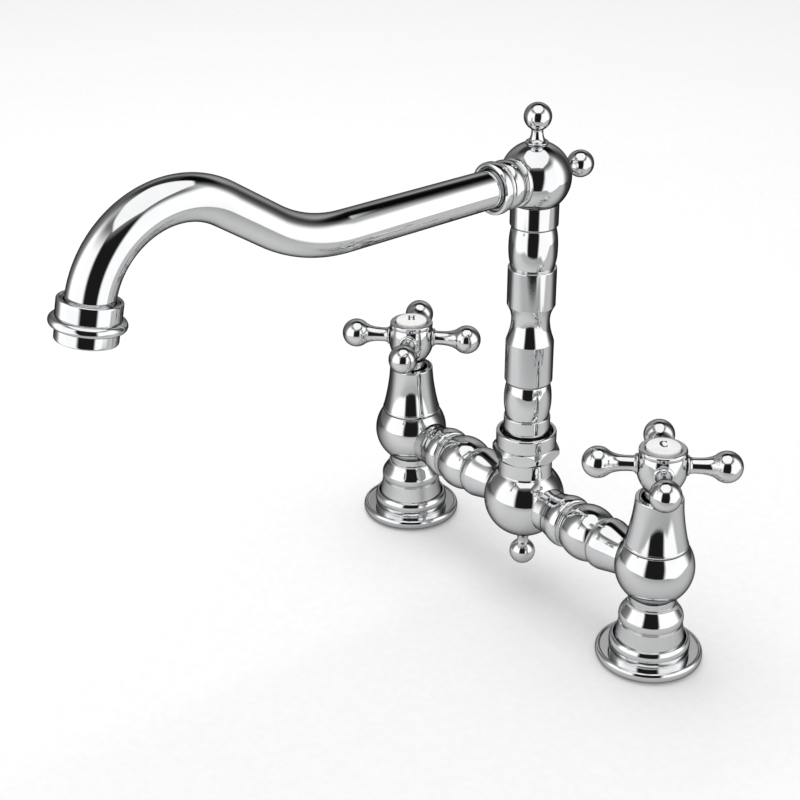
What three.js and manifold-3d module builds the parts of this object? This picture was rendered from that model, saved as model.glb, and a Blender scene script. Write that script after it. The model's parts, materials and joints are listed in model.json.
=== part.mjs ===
// Bridge kitchen faucet: two pillar valves on deck flanges, joined by a turned bridge, with a
// swivelling column and a swan-neck spout between them. Millimetres, +Z up, the spout towards -Y,
// hot on -X and cold on +X. The deck plane is z = 0.
import * as THREE from 'three';
import { mergeVertices } from 'three/addons/utils/BufferGeometryUtils.js';
import Module from 'manifold-3d';

const wasm = await Module();
wasm.setup();

// ---------------------------------------------------------------- driving dimensions
const pillarSpacing = 180; // between the axes of the two pillars
const fit = 0.3; // clearance left between neighbouring pieces
const waterway = 5.6; // radius of the drilled passages
const portRadius = 7.8; // spigots of the bridge arms
const portDepth = 5; // how far a spigot enters a ball

const flangeRadius = 25.8;
const flangeRimHeight = 4.8;
const flangeRimWidth = 2.3;
const flangeDish = 4; // height of the plate between rim and collar
const flangeCollarWall = 1.5; // at the widest of the rounded collar
const flangeCollarHeight = 11.8;
const flangeCollarChamfer = 0.9; // of the collar's inner edge, as a height
const gasketInner = 20.4;
const gasketOuter = 23.4;
const gasketThickness = 1.2;

const footBaseRadius = 17.4;
const footBaseHeight = 9; // top of the straight base inside the flange
const footTopRadius = 15.3;
const footTaperHeight = 10.2;
const footGrooveRadius = 14.6;
const footGrooveWidth = 0.9;
const footBulbRadius = 15.45;
const footBulbRise = 2.1; // groove to the widest of the bulb
const footBulbHeight = 10.3;
const footBulbFlow = 2.9; // reach of the bulb's curve from each of its ends
const footNeckRadius = 11.1;
const footNeckLip = 0.6;
const footSpigotRadius = 8.6;
const footSpigotLength = 5.4;
const inletRadius = 9.6; // female socket for the supply tail
const inletDepth = 14;

const valveBallRadius = 18.85;
const valveBallHeight = 49.5;
const valveSeatDepth = 18.2; // cartridge chamber, down from the top face
const chamberRadius = 9.2;

const bonnetBaseRadius = 15;
const bonnetTopRadius = 11.3;
const bonnetLength = 25;
const bonnetMouthRadius = 8.4;
const bonnetLipLength = 4.4;

const cartridgeCollarRadius = 11.4;
const cartridgeCollarHeight = 3;
const cartridgeThreadHeight = 7.2;
const cartridgeNeckRadius = 6.6;
const cartridgeNeckHeight = 17.5;
const cartridgeWall = 1.3;
const cartridgeWindowWidth = 7;
const sealThickness = 2;
const discThickness = 2.6;
const discPortRadius = 5.6;
const discHubRadius = 1.6;
const discPortSpan = 80; // degrees

const spindleRadius = 4;
const spindleFootHeight = 2.2;
const spindleTongueWidth = 2.6;
const spindleTongueDepth = 1;
const spindleSquare = 5.6; // across the flats that drive the handle
const spindleSquareLength = 12;
const spindleRingHeight = 6; // seal groove, up from the cartridge collar
const ringSection = 1.8;
const clipThickness = 0.8;
const clipReach = 1.6;

const handleRise = 16.9; // arm axis above the mouth of the bonnet
const hubRadius = 11.7;
const hubCrownHeight = 8.6;
const hubRingRadius = 11.1;
const hubRingHeight = 2.4;
const hubBowlDepth = 2.4; // widest section below the arm axis
const hubTailRadius = 7.1;
const hubTailDrop = 12.8; // arm axis down to the end of the straight tail
const hubTailOverlap = 2.6; // how far the tail reaches into the bonnet
const indexRadius = 8;
const indexEdge = 1.5; // depth of the button's seat in the hub
const indexSide = 0.9; // how far its side stands out of the hub
const indexDome = 2;
const armReach = 29.15; // handle axis to the centre of an arm's ball
const armBallRadius = 7.43;
const armNeckRadius = 3.7;
const armCollarRadius = 4.6;
const armStudRadius = 2.2;
const armStudLength = 3;
const armSeat = 11.1; // handle axis to the spot face under an arm
const armCount = 4;
const screwHeadRadius = 3.6;
const screwHeadHeight = 2.2;
const screwRadius = 1.6;
const screwLength = 9;
const hotHandleAngle = 42.2; // degrees from +X, closed
const coldHandleAngle = 46.3;

const bridgeHeight = 46.7;
const centreBallRadius = 20.15;
const centreNeckRadius = 13.3;
const centreNeckTop = 70.5;
const threadRadius = 12;
const threadLength = 3.8;
const armMouthRadius = 11; // the bridge arm's collar
const armConeRadius = 10.5; // the bridge arm's plain end
const armCollarLength = 4.2;
const armFlareLength = 8.1;
const armSkirtRadius = 13.1;
const armSkirtLength = 5.8;
const armGrooveRadius = 11.5;
const armGrooveWidth = 1.5;
const armBeadRadius = 14;
const armBeadLength = 17.7;
const armShoulderRadius = 13;
const armShoulderRise = 3.9; // groove to the widest of the shoulder
const armShoulderLength = 2;
const armTipLength = 3; // last stretch of the cone, nearly straight

const nutHeight = 6.4;
const nutAcrossFlats = 30;
const nutCornerRadius = 16.75;
const nutChamferHeight = 1.9;
const nutTurn = 38; // degrees from +X to a corner
const nutCollarRadius = 14.9;
const nutCollarLength = 7.8;
const nutWall = 1.7; // of the collar, round the bush
const bushDepth = 3; // mouth of the nut to the top of the bush
const nutWeb = 1;
const retainerThickness = 1.8;

const columnEndRadius = 11.45;
const columnEndLength = 15.4;
const columnSpigotRadius = 8.6;
const columnSpigotLength = 21;
const columnGrooveDepth = 1.3;
const columnBore = 6.4;
const barrelRadius = 11.7;
const barrelEndRadius = 10.45;
const lowerBarrelLength = 17.9;
const shaftRadius = 11.7;
const lowerShaftLength = 20.7;
const coveRadius = 9.3;
const coveRise = 11.1; // lower end of the cove to its narrowest
const coveLength = 19.2;
const upperShaftLength = 19.2;
const upperBarrelLength = 20.1;
const columnNeckRadius = 11.5;

const topBallRadius = 16.75;
const spoutHeight = 216.2; // centre of the top ball and axis of the spout's straight run
const topSpigotRadius = 8.8;
const topSpigotLength = 2.8;

const finialBallRadius = 6.5;
const finialStand = 11.8; // ball surface to the centre of the finial's own ball
const finialNeckRadius = 3;
const finialBaseRadius = 5.4;
const finialStudRadius = 1.8;
const finialStudLength = 4;

const socketFaceRadius = 11.6; // turned socket that carries the spout
const socketRingRadius = 12.3;
const socketMouth = 28.4; // column axis to the mouth of the socket
const socketRingWidth = 2.2;
const spoutRun = 111; // column axis to the first bend
const riseRadius = 68;
const climbAngle = 33.8;
const climbLength = 26.6;
const crownRadius = 41.2;
const dropAngle = 78.8;
const spoutEndLength = 4;
const spoutStartRadius = 8.9;
const spoutEndRadius = 10.1;
const spoutWall = 1.5;

const nozzleRadius = 13.2;
const nozzleLowerRadius = 12.8;
const nozzleRingRadius = 15.6;
const nozzleRingSection = 2.3;
const nozzleRingDepth = 9.5; // lip to the middle of the ring
const nozzleLength = 17.1;
const nozzleSocketDepth = 6;
const aeratorRadius = 10.6;
const aeratorHeight = 5;
const aeratorHoleRadius = 1.5;
const aeratorHoleCircle = 5.6;
const aeratorHoles = 6;
const washerThickness = 1.2;

const FINE = 14; // facets round the large turned pieces
const MEDIUM = 12;
const SMALL = 8;
const stationAngle = 14; // bend between two stations of the swept tube

// ---------------------------------------------------------------- shape helpers
const DEG = Math.PI / 180;
const side = (hypotenuse, leg) => Math.sqrt(hypotenuse ** 2 - leg ** 2);

// A profile of (radius, height) points that closes on itself or on the axis, turned about Z.
function turned(profile, sides = FINE, steps = 3) {
  const points = profile.getPoints(steps);
  const closesOnAxis = points[0].x === 0 && points.at(-1).x === 0;
  if (!closesOnAxis && !points[0].equals(points.at(-1))) points.push(points[0].clone());
  if (THREE.ShapeUtils.area(points) < 0) points.reverse();
  return new THREE.LatheGeometry(points, sides).rotateX(Math.PI / 2);
}

// A profile made of straight lines through [radius, height] corners.
function corners(...list) {
  return new THREE.Path(list.map(([radius, height]) => new THREE.Vector2(radius, height)));
}

// A plain ring or tube between two radii and two heights.
function ring(inner, outer, bottom, top, sides = FINE) {
  return turned(corners([inner, bottom], [outer, bottom], [outer, top], [inner, top]), sides);
}

// A plain rod on the Z axis.
function rod(radius, bottom, top, sides = FINE) {
  return turned(corners([0, bottom], [radius, bottom], [radius, top], [0, top]), sides);
}

// A square ring standing for a rubber seal of the given section.
function sealRing(inner, section, middle, sides) {
  return ring(inner, inner + section, middle - section / 2, middle + section / 2, sides);
}

// Turns a piece made along +Z so that it points along -Z, +X, -X, +Y or -Y.
const pointDown = (geometry) => geometry.rotateX(Math.PI);
const pointRight = (geometry) => geometry.rotateY(Math.PI / 2);
const pointLeft = (geometry) => geometry.rotateY(-Math.PI / 2);
const pointBack = (geometry) => geometry.rotateX(-Math.PI / 2);
const pointFront = (geometry) => geometry.rotateX(Math.PI / 2);

function toSolid(geometry) {
  const bare = geometry.clone();
  bare.deleteAttribute('normal');
  bare.deleteAttribute('uv');
  const merged = mergeVertices(bare, 1e-4);
  const index = merged.index.array;
  const faces = [];
  for (let i = 0; i < index.length; i += 3) {
    const [a, b, c] = [index[i], index[i + 1], index[i + 2]];
    if (a !== b && b !== c && c !== a) faces.push(a, b, c);
  }
  const vertProperties = new Float32Array(merged.attributes.position.array);
  return new wasm.Manifold(new wasm.Mesh({ numProp: 3, vertProperties, triVerts: new Uint32Array(faces) }));
}

function toGeometry(solid) {
  const mesh = solid.getMesh();
  const geometry = new THREE.BufferGeometry();
  geometry.setAttribute('position', new THREE.BufferAttribute(mesh.vertProperties, 3));
  geometry.setIndex(new THREE.BufferAttribute(mesh.triVerts, 1));
  return geometry;
}

// The first geometry with all the others cut away from it.
function cut(geometry, ...tools) {
  return toGeometry(tools.reduce((rest, tool) => rest.subtract(toSolid(tool)), toSolid(geometry)));
}

function join(geometry, ...others) {
  return toGeometry(others.reduce((sum, other) => sum.add(toSolid(other)), toSolid(geometry)));
}

// ---------------------------------------------------------------- finishes
const finish = {
  chrome: () => new THREE.MeshStandardMaterial({ color: 0xd9dcdf, roughness: 0.08, metalness: 1 }),
  brass: () => new THREE.MeshStandardMaterial({ color: 0xc9a24b, roughness: 0.3, metalness: 1 }),
  porcelain: () => new THREE.MeshStandardMaterial({ color: 0xf3f2ec, roughness: 0.12, metalness: 0 }),
  ceramic: () => new THREE.MeshStandardMaterial({ color: 0xe6e2d8, roughness: 0.35, metalness: 0 }),
  rubber: () => new THREE.MeshStandardMaterial({ color: 0x1b1b1c, roughness: 0.75, metalness: 0 }),
  nylon: () => new THREE.MeshStandardMaterial({ color: 0x161617, roughness: 0.5, metalness: 0 }),
};

const faucet = new THREE.Group();

function piece(group, name, geometry, material) {
  const mesh = new THREE.Mesh(geometry, material());
  mesh.name = name;
  group.add(mesh);
  return mesh;
}

// ---------------------------------------------------------------- heights up a pillar
const footBore = footBaseRadius + fit;
const footNeckTop = valveBallHeight - side(valveBallRadius, footNeckRadius) - fit;
const valveTopRadius = bonnetBaseRadius - 0.1;
const valveTop = valveBallHeight + side(valveBallRadius, valveTopRadius);
const chamberFloor = valveTop - valveSeatDepth;
const bonnetBase = valveTop + fit;
const bonnetTop = bonnetBase + bonnetLength;
const armHeight = bonnetTop + handleRise;
const hubTop = armHeight + hubCrownHeight;
const tailBottom = bonnetTop - hubTailOverlap;

const sealBottom = chamberFloor + fit;
const fixedDiscBottom = sealBottom + sealThickness + fit;
const movingDiscBottom = fixedDiscBottom + discThickness + fit;
const spindleFootBottom = movingDiscBottom + discThickness + fit;
const spindleFootTop = spindleFootBottom + spindleFootHeight;
const cartridgeRadius = chamberRadius - fit;
const cageBore = cartridgeRadius - cartridgeWall;
const cartridgeBase = bonnetBase; // underside of the collar that clamps on the ball
const collarTop = cartridgeBase + cartridgeCollarHeight;
const threadTop = cartridgeBase + cartridgeThreadHeight;
const cartridgeTop = cartridgeBase + cartridgeNeckHeight;
const clipBottom = cartridgeTop + fit;
const webBottom = armHeight - 1.9; // web of the hub, over the spindle
const webTop = webBottom + 2.4;
const spindleTop = webBottom - fit;
const squareBottom = spindleTop - spindleSquareLength;

// ---------------------------------------------------------------- pillar pieces
// A plate with a rolled rim, and a rounded collar that closes in on the tapering foot.
function deckFlange() {
  const collarRadius = footBore + flangeCollarWall;
  const collarMiddle = (flangeDish + flangeCollarHeight) / 2;
  const collarInner = footRadiusAt(flangeCollarHeight - flangeCollarChamfer) + fit;
  const rimEdge = flangeRadius - flangeRimWidth;
  const roof = gasketThickness + fit * 2;
  const outline = new THREE.Path()
    .moveTo(footBore, 0)
    .lineTo(gasketInner - fit, 0)
    .lineTo(gasketInner - fit, roof)
    .lineTo(gasketOuter + fit, roof)
    .lineTo(gasketOuter + fit, 0)
    .lineTo(flangeRadius - 1.4, 0)
    .quadraticCurveTo(flangeRadius + 1.3, flangeRimHeight / 2, rimEdge + 1.1, flangeRimHeight)
    .lineTo(rimEdge, flangeDish)
    .lineTo(collarRadius - 0.3, flangeDish)
    .quadraticCurveTo(collarRadius + 1.1, collarMiddle + 0.7, footBore, flangeCollarHeight)
    .lineTo(collarInner, flangeCollarHeight - flangeCollarChamfer)
    .lineTo(footBore, footBaseHeight);
  return turned(outline, FINE, 2);
}

// Radius of the foot at a height on its taper.
function footRadiusAt(height) {
  return THREE.MathUtils.mapLinear(
    height, footBaseHeight, footBaseHeight + footTaperHeight, footBaseRadius, footTopRadius,
  );
}

function deckGasket() {
  return ring(gasketInner, gasketOuter, fit, fit + gasketThickness);
}

function pillarFoot() {
  const taperTop = footBaseHeight + footTaperHeight;
  const bulbBottom = taperTop + footGrooveWidth;
  const bulbMiddle = bulbBottom + footBulbRise;
  const bulbTop = bulbBottom + footBulbHeight;
  const spigotTop = footNeckTop + footSpigotLength;
  const outline = new THREE.Path()
    .moveTo(inletRadius, fit)
    .lineTo(footBaseRadius, fit)
    .lineTo(footBaseRadius, footBaseHeight)
    .lineTo(footTopRadius, taperTop)
    .lineTo(footGrooveRadius, taperTop + 0.4)
    .lineTo(footGrooveRadius, bulbBottom)
    .quadraticCurveTo(footBulbRadius, bulbBottom, footBulbRadius, bulbMiddle)
    .bezierCurveTo(
      footBulbRadius, bulbMiddle + footBulbFlow,
      footNeckRadius + 1.3, bulbTop - footBulbFlow,
      footNeckRadius + footNeckLip, bulbTop,
    )
    .lineTo(footNeckRadius, bulbTop + 0.5)
    .lineTo(footNeckRadius, footNeckTop)
    .lineTo(footSpigotRadius, footNeckTop)
    .lineTo(footSpigotRadius, spigotTop)
    .lineTo(waterway, spigotTop)
    .lineTo(waterway, inletDepth + inletRadius - waterway)
    .lineTo(inletRadius, inletDepth);
  return turned(outline, FINE, 3);
}

// The ball that holds the cartridge, with a spot face and port towards the bridge (toward = +1 for +X).
function valveBody(toward) {
  const socketRadius = footSpigotRadius + fit;
  const socketTop = footNeckTop + footSpigotLength + fit;
  const openingHeight = footNeckTop + fit;
  const outline = new THREE.Path()
    .moveTo(footNeckRadius, openingHeight)
    .absarc(
      0, valveBallHeight, valveBallRadius,
      -Math.acos(footNeckRadius / valveBallRadius), Math.acos(valveTopRadius / valveBallRadius),
    )
    .lineTo(chamberRadius, valveTop)
    .lineTo(chamberRadius, chamberFloor)
    .lineTo(waterway, chamberFloor)
    .lineTo(waterway, socketTop)
    .lineTo(socketRadius, socketTop)
    .lineTo(socketRadius, openingHeight);
  const mouth = toward > 0 ? armMouthRadius : armConeRadius;
  const spotFace = rod(mouth + fit, armFace(valveBallRadius), valveBallRadius + 4);
  const port = rod(portRadius + fit, chamberRadius - 3, valveBallRadius + 4, MEDIUM);
  const aim = toward > 0 ? pointRight : pointLeft;
  const tools = [spotFace, port].map((tool) => aim(tool).translate(0, 0, bridgeHeight));
  return cut(turned(outline, FINE, 2), ...tools);
}

// Distance from a ball's centre to the flat where a bridge arm seats.
function armFace(radius) {
  return side(radius, armMouthRadius) + fit;
}

function bonnet() {
  const threadBore = cartridgeCollarRadius + fit;
  const neckBore = cartridgeRadius + fit;
  const lipBottom = bonnetTop - bonnetLipLength;
  const outline = new THREE.Path()
    .moveTo(threadBore, bonnetBase)
    .lineTo(bonnetBaseRadius, bonnetBase)
    .lineTo(bonnetBaseRadius - 0.2, bonnetBase + 1.4)
    .quadraticCurveTo(bonnetTopRadius + 0.5, bonnetBase + bonnetLength * 0.54, bonnetTopRadius, bonnetTop - 1)
    .lineTo(bonnetTopRadius - 0.4, bonnetTop)
    .lineTo(bonnetMouthRadius, bonnetTop)
    .lineTo(bonnetMouthRadius, lipBottom)
    .lineTo(neckBore, lipBottom - 1)
    .lineTo(neckBore, threadTop + fit)
    .lineTo(threadBore, collarTop + 1);
  return turned(outline, FINE, 2);
}

function cartridgeBody() {
  const spindleBore = spindleRadius + fit;
  const cageTop = spindleFootTop + fit;
  const outline = corners(
    [cageBore, sealBottom],
    [cartridgeRadius, sealBottom],
    [cartridgeRadius, cartridgeBase],
    [cartridgeCollarRadius, cartridgeBase],
    [cartridgeCollarRadius, collarTop],
    [cartridgeRadius, collarTop],
    [cartridgeRadius, threadTop],
    [cartridgeNeckRadius, threadTop],
    [cartridgeNeckRadius, cartridgeTop],
    [spindleBore, cartridgeTop],
    [spindleBore, cageTop],
    [cageBore, cageTop],
  );
  const windowHeight = discThickness + spindleFootHeight;
  const window = new THREE.BoxGeometry(cartridgeWindowWidth, cartridgeRadius * 3, windowHeight)
    .translate(0, 0, movingDiscBottom + windowHeight / 2);
  return cut(turned(outline, MEDIUM), window);
}

function cartridgeSeal() {
  return ring(waterway, cageBore - fit, sealBottom, sealBottom + sealThickness, MEDIUM);
}

// A sector-shaped port, centred on the given direction.
function sectorPort(direction) {
  const port = new THREE.Path();
  const from = (direction - discPortSpan / 2) * DEG;
  const to = (direction + discPortSpan / 2) * DEG;
  port.absarc(0, 0, discPortRadius, from, to);
  port.absarc(0, 0, discHubRadius, to, from, true);
  port.closePath();
  return port;
}

// A ceramic disc with two opposite ports. The closed handle holds the two discs a quarter turn apart.
function ceramicDisc(bottom, firstPort) {
  const outline = new THREE.Shape().absarc(0, 0, cageBore - fit, 0, Math.PI * 2);
  outline.holes = [sectorPort(firstPort), sectorPort(firstPort + 180)];
  return new THREE.ExtrudeGeometry(outline, { depth: discThickness, bevelEnabled: false, curveSegments: 4 })
    .translate(0, 0, bottom);
}

// ---------------------------------------------------------------- handle pieces
function movingDisc() {
  const slot = new THREE.BoxGeometry(
    cageBore * 3, spindleTongueWidth + fit * 2, (spindleTongueDepth + fit) * 2,
  ).translate(0, 0, movingDiscBottom + discThickness);
  return cut(ceramicDisc(movingDiscBottom, 0), slot);
}

function spindle() {
  const grooveMiddle = collarTop + spindleRingHeight;
  const grooveRadius = spindleRadius - 1.2;
  const grooveHalf = ringSection / 2 + fit;
  const clipGroove = spindleRadius - 0.9;
  const clipTop = clipBottom + clipThickness + fit;
  const squareCorner = spindleSquare / Math.SQRT2;
  const tapped = screwRadius + fit;
  const shaft = turned(corners(
    [0, spindleFootBottom],
    [cageBore - fit, spindleFootBottom],
    [cageBore - fit, spindleFootTop],
    [spindleRadius, spindleFootTop],
    [spindleRadius, grooveMiddle - grooveHalf],
    [grooveRadius, grooveMiddle - grooveHalf],
    [grooveRadius, grooveMiddle + grooveHalf],
    [spindleRadius, grooveMiddle + grooveHalf],
    [spindleRadius, clipBottom - fit / 2],
    [clipGroove, clipBottom - fit / 2],
    [clipGroove, clipTop],
    [spindleRadius, clipTop],
    [spindleRadius, squareBottom],
    [0, squareBottom],
  ), SMALL);
  const square = rod(squareCorner, squareBottom - 1, spindleTop, 4).rotateZ(45 * DEG);
  const tongue = new THREE.BoxGeometry(cageBore * 1.6, spindleTongueWidth, spindleTongueDepth * 2)
    .translate(0, 0, spindleFootBottom);
  const tapping = rod(tapped, spindleTop - screwLength, spindleTop + 1, SMALL);
  return cut(join(shaft, square, tongue), tapping);
}

function spindleSeal() {
  return sealRing(spindleRadius - 1.2 + fit / 2, ringSection - 0.9, collarTop + spindleRingHeight, SMALL);
}

// A C-shaped clip snapped round the spindle above the cartridge.
function spindleClip() {
  const inner = spindleRadius - 0.6;
  const outer = spindleRadius + clipReach;
  const gap = 25 * DEG;
  const outline = new THREE.Shape()
    .absarc(0, 0, outer, gap, Math.PI * 2 - gap)
    .absarc(0, 0, inner, Math.PI * 2 - gap, gap, true);
  return new THREE.ExtrudeGeometry(outline, { depth: clipThickness, bevelEnabled: false, curveSegments: 6 })
    .translate(0, 0, clipBottom);
}

function handleHub() {
  const seat = hubTop - indexEdge;
  const wellRadius = screwHeadRadius + fit * 2;
  const spindleBore = spindleRadius + fit;
  const bowlHeight = armHeight - hubBowlDepth;
  const ringBottom = hubTop - hubRingHeight;
  const tailTop = armHeight - hubTailDrop;
  const outline = new THREE.Path()
    .moveTo(spindleBore, tailBottom)
    .lineTo(hubTailRadius, tailBottom)
    .lineTo(hubTailRadius, tailTop)
    .bezierCurveTo(
      hubTailRadius + 2.6, tailTop + 2.8,
      hubRadius, bowlHeight - 3.4,
      hubRadius, bowlHeight,
    )
    .lineTo(hubRadius - 0.3, ringBottom - 1.6)
    .lineTo(hubRingRadius - 0.5, ringBottom)
    .lineTo(hubRingRadius, ringBottom + 0.6)
    .lineTo(hubRingRadius - 0.4, hubTop)
    .lineTo(indexRadius + fit, hubTop)
    .lineTo(indexRadius + fit, seat - fit)
    .lineTo(wellRadius, seat - fit)
    .lineTo(wellRadius, webTop)
    .lineTo(screwRadius + fit, webTop)
    .lineTo(screwRadius + fit, webBottom)
    .lineTo(spindleBore, webBottom);
  const tools = [];
  for (let i = 0; i < armCount; i += 1) {
    const spotFace = rod(armCollarRadius + fit, armSeat, hubRadius + 3, SMALL);
    const socket = rod(armStudRadius + fit, armSeat - armStudLength - fit, hubRadius + 3, SMALL);
    for (const tool of [spotFace, socket]) {
      tools.push(pointRight(tool).rotateZ((i * 2 * Math.PI) / armCount).translate(0, 0, armHeight));
    }
  }
  return cut(turned(outline, MEDIUM, 3), ...tools);
}

// One pear-shaped arm, made along +Z from its stud to its ball.
function handleArm() {
  const root = armSeat + fit;
  const ballFrom = 128 * DEG;
  const neckEnd = armReach - 10;
  const start = new THREE.Vector2(
    armBallRadius * Math.sin(ballFrom), armReach + armBallRadius * Math.cos(ballFrom),
  );
  const outline = new THREE.Path()
    .moveTo(0, root - armStudLength)
    .lineTo(armStudRadius, root - armStudLength)
    .lineTo(armStudRadius, root)
    .lineTo(armCollarRadius, root)
    .lineTo(armNeckRadius, root + 1.4)
    .bezierCurveTo(armNeckRadius - 0.1, neckEnd - 1, start.x - 1.6, start.y - 2.2, start.x, start.y)
    .absarc(0, armReach, armBallRadius, Math.PI / 2 - ballFrom, Math.PI / 2);
  return turned(outline, SMALL, 2);
}

function handleScrew() {
  const headTop = webTop + fit + screwHeadHeight;
  const tip = spindleTop - screwLength + fit;
  const outline = corners(
    [0, tip],
    [screwRadius, tip],
    [screwRadius, webTop + fit],
    [screwHeadRadius, webTop + fit],
    [screwHeadRadius, headTop],
    [0, headTop],
  );
  const drive = rod(1.5, headTop - 1.2, headTop + 1, 6);
  return cut(turned(outline, SMALL), drive);
}

function indexButton() {
  const bottom = hubTop - indexEdge;
  const outline = new THREE.Path()
    .moveTo(0, bottom)
    .lineTo(indexRadius, bottom)
    .lineTo(indexRadius, hubTop + indexSide)
    .quadraticCurveTo(indexRadius * 0.55, hubTop + indexDome, 0, hubTop + indexDome);
  return turned(outline, MEDIUM, 3);
}

function pillar(name, x, toward, handleAngle) {
  const fixed = new THREE.Group();
  fixed.position.x = x;
  piece(fixed, `${name}_deck_flange`, deckFlange(), finish.chrome);
  piece(fixed, `${name}_deck_gasket`, deckGasket(), finish.rubber);
  piece(fixed, `${name}_pillar_foot`, pillarFoot(), finish.chrome);
  piece(fixed, `${name}_valve_body`, valveBody(toward), finish.chrome);
  piece(fixed, `${name}_bonnet`, bonnet(), finish.chrome);
  piece(fixed, `${name}_cartridge_body`, cartridgeBody(), finish.brass);
  piece(fixed, `${name}_cartridge_seal`, cartridgeSeal(), finish.rubber);
  piece(fixed, `${name}_fixed_disc`, ceramicDisc(fixedDiscBottom, 90 + handleAngle), finish.ceramic);
  faucet.add(fixed);

  const handle = new THREE.Group();
  handle.position.x = x;
  handle.rotation.z = handleAngle * DEG;
  piece(handle, `${name}_moving_disc`, movingDisc(), finish.ceramic);
  piece(handle, `${name}_spindle`, spindle(), finish.brass);
  piece(handle, `${name}_spindle_seal`, spindleSeal(), finish.rubber);
  piece(handle, `${name}_spindle_clip`, spindleClip(), finish.brass);
  piece(handle, `${name}_handle_hub`, handleHub(), finish.chrome);
  for (let i = 0; i < armCount; i += 1) {
    const arm = piece(handle, `${name}_handle_arm_${i + 1}`, pointRight(handleArm()), finish.chrome);
    arm.position.z = armHeight;
    arm.rotation.z = (i * 2 * Math.PI) / armCount;
  }
  piece(handle, `${name}_handle_screw`, handleScrew(), finish.brass);
  piece(handle, `${name}_index_button`, indexButton(), finish.porcelain);
  faucet.add(handle);
}

pillar('hot', -pillarSpacing / 2, 1, hotHandleAngle);
pillar('cold', pillarSpacing / 2, -1, coldHandleAngle);

// ---------------------------------------------------------------- bridge
// A hollow turned arm between two flats: collar, flare, skirt, round bead, shoulder and cone.
function bridgeArm(from, to) {
  const collarEnd = from + armCollarLength;
  const flareEnd = collarEnd + armFlareLength;
  const skirtEnd = flareEnd + armSkirtLength;
  const beadStart = skirtEnd + armGrooveWidth;
  const beadEnd = beadStart + armBeadLength;
  const shoulderStart = beadEnd + armGrooveWidth;
  const shoulderMiddle = shoulderStart + armShoulderRise;
  const beadHalf = armBeadLength / 2;
  const beadSag = armBeadRadius - armGrooveRadius;
  const beadCurve = (beadHalf ** 2 + beadSag ** 2) / (2 * beadSag);
  const beadFrom = Math.asin(beadHalf / beadCurve);
  const outline = new THREE.Path()
    .moveTo(waterway, from - portDepth)
    .lineTo(portRadius, from - portDepth)
    .lineTo(portRadius, from)
    .lineTo(armMouthRadius, from)
    .lineTo(armMouthRadius, collarEnd)
    .quadraticCurveTo(armMouthRadius + 0.3, flareEnd - 3.6, armSkirtRadius - 0.2, flareEnd)
    .quadraticCurveTo(armSkirtRadius + 0.4, flareEnd + armSkirtLength * 0.6, armGrooveRadius + 0.8, skirtEnd)
    .lineTo(armGrooveRadius, skirtEnd + 0.4)
    .lineTo(armGrooveRadius, beadStart)
    .absarc(armBeadRadius - beadCurve, beadStart + beadHalf, beadCurve, -beadFrom, beadFrom)
    .lineTo(armGrooveRadius, shoulderStart)
    .quadraticCurveTo(armShoulderRadius - 0.1, shoulderStart + 0.4, armShoulderRadius, shoulderMiddle)
    .lineTo(armShoulderRadius, shoulderMiddle + armShoulderLength)
    .lineTo(armConeRadius + 0.2, to - armTipLength)
    .lineTo(armConeRadius, to)
    .lineTo(portRadius, to)
    .lineTo(portRadius, to + portDepth)
    .lineTo(waterway, to + portDepth);
  return pointRight(turned(outline, FINE, 2)).translate(0, 0, bridgeHeight);
}

const pillarFlat = pillarSpacing / 2 - armFace(valveBallRadius) - fit;
const centreFlat = armFace(centreBallRadius) + fit;
piece(faucet, 'hot_bridge_arm', bridgeArm(-pillarFlat, -centreFlat), finish.chrome);
piece(faucet, 'cold_bridge_arm', bridgeArm(centreFlat, pillarFlat), finish.chrome);

// ---------------------------------------------------------------- centre body and swivel joint
const threadTopHeight = centreNeckTop + threadLength;
const retainerBottom = threadTopHeight + fit;
const webUnderside = retainerBottom + retainerThickness + fit;
const webUpper = webUnderside + nutWeb;
const nutBottom = centreNeckTop + fit;
const collarBottom = nutBottom + nutHeight;
const nutTop = collarBottom + nutCollarLength;
const columnEndBottom = webUpper + fit;
const spigotBottom = columnEndBottom - columnSpigotLength;
const spigotBore = columnSpigotRadius + fit;
const mouthBore = nutCollarRadius - nutWall;
const grooveRadius = columnSpigotRadius - columnGrooveDepth;

function centreBody() {
  const neckFoot = bridgeHeight + side(centreBallRadius, centreNeckRadius);
  const outline = new THREE.Path()
    .moveTo(0, bridgeHeight - centreBallRadius)
    .absarc(
      0, bridgeHeight, centreBallRadius,
      -Math.PI / 2, Math.acos(centreNeckRadius / centreBallRadius),
    )
    .lineTo(centreNeckRadius, neckFoot)
    .lineTo(centreNeckRadius, centreNeckTop)
    .lineTo(threadRadius, centreNeckTop)
    .lineTo(threadRadius, threadTopHeight)
    .lineTo(spigotBore, threadTopHeight)
    .lineTo(spigotBore, spigotBottom - 1)
    .lineTo(columnBore, spigotBottom - 1)
    .lineTo(columnBore, bridgeHeight)
    .lineTo(0, bridgeHeight);
  const tools = [];
  const mouths = [[pointRight, armMouthRadius], [pointLeft, armConeRadius]];
  for (const [aim, mouth] of mouths) {
    const spotFace = rod(mouth + fit, armFace(centreBallRadius), centreBallRadius + 3);
    const port = rod(portRadius + fit, armFace(centreBallRadius) - portDepth - 1, centreBallRadius + 3);
    const passage = rod(waterway, -1, centreBallRadius, MEDIUM);
    tools.push(...[spotFace, port, passage].map((tool) => aim(tool).translate(0, 0, bridgeHeight)));
  }
  const stud = rod(finialStudRadius + fit, finialStudTop(centreBallRadius), centreBallRadius + 1, SMALL);
  const seat = rod(finialBaseRadius + fit, finialFace(centreBallRadius), centreBallRadius + 1, MEDIUM);
  tools.push(...[stud, seat].map((tool) => pointDown(tool).translate(0, 0, bridgeHeight)));
  return cut(turned(outline, FINE, 3), ...tools);
}

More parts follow.
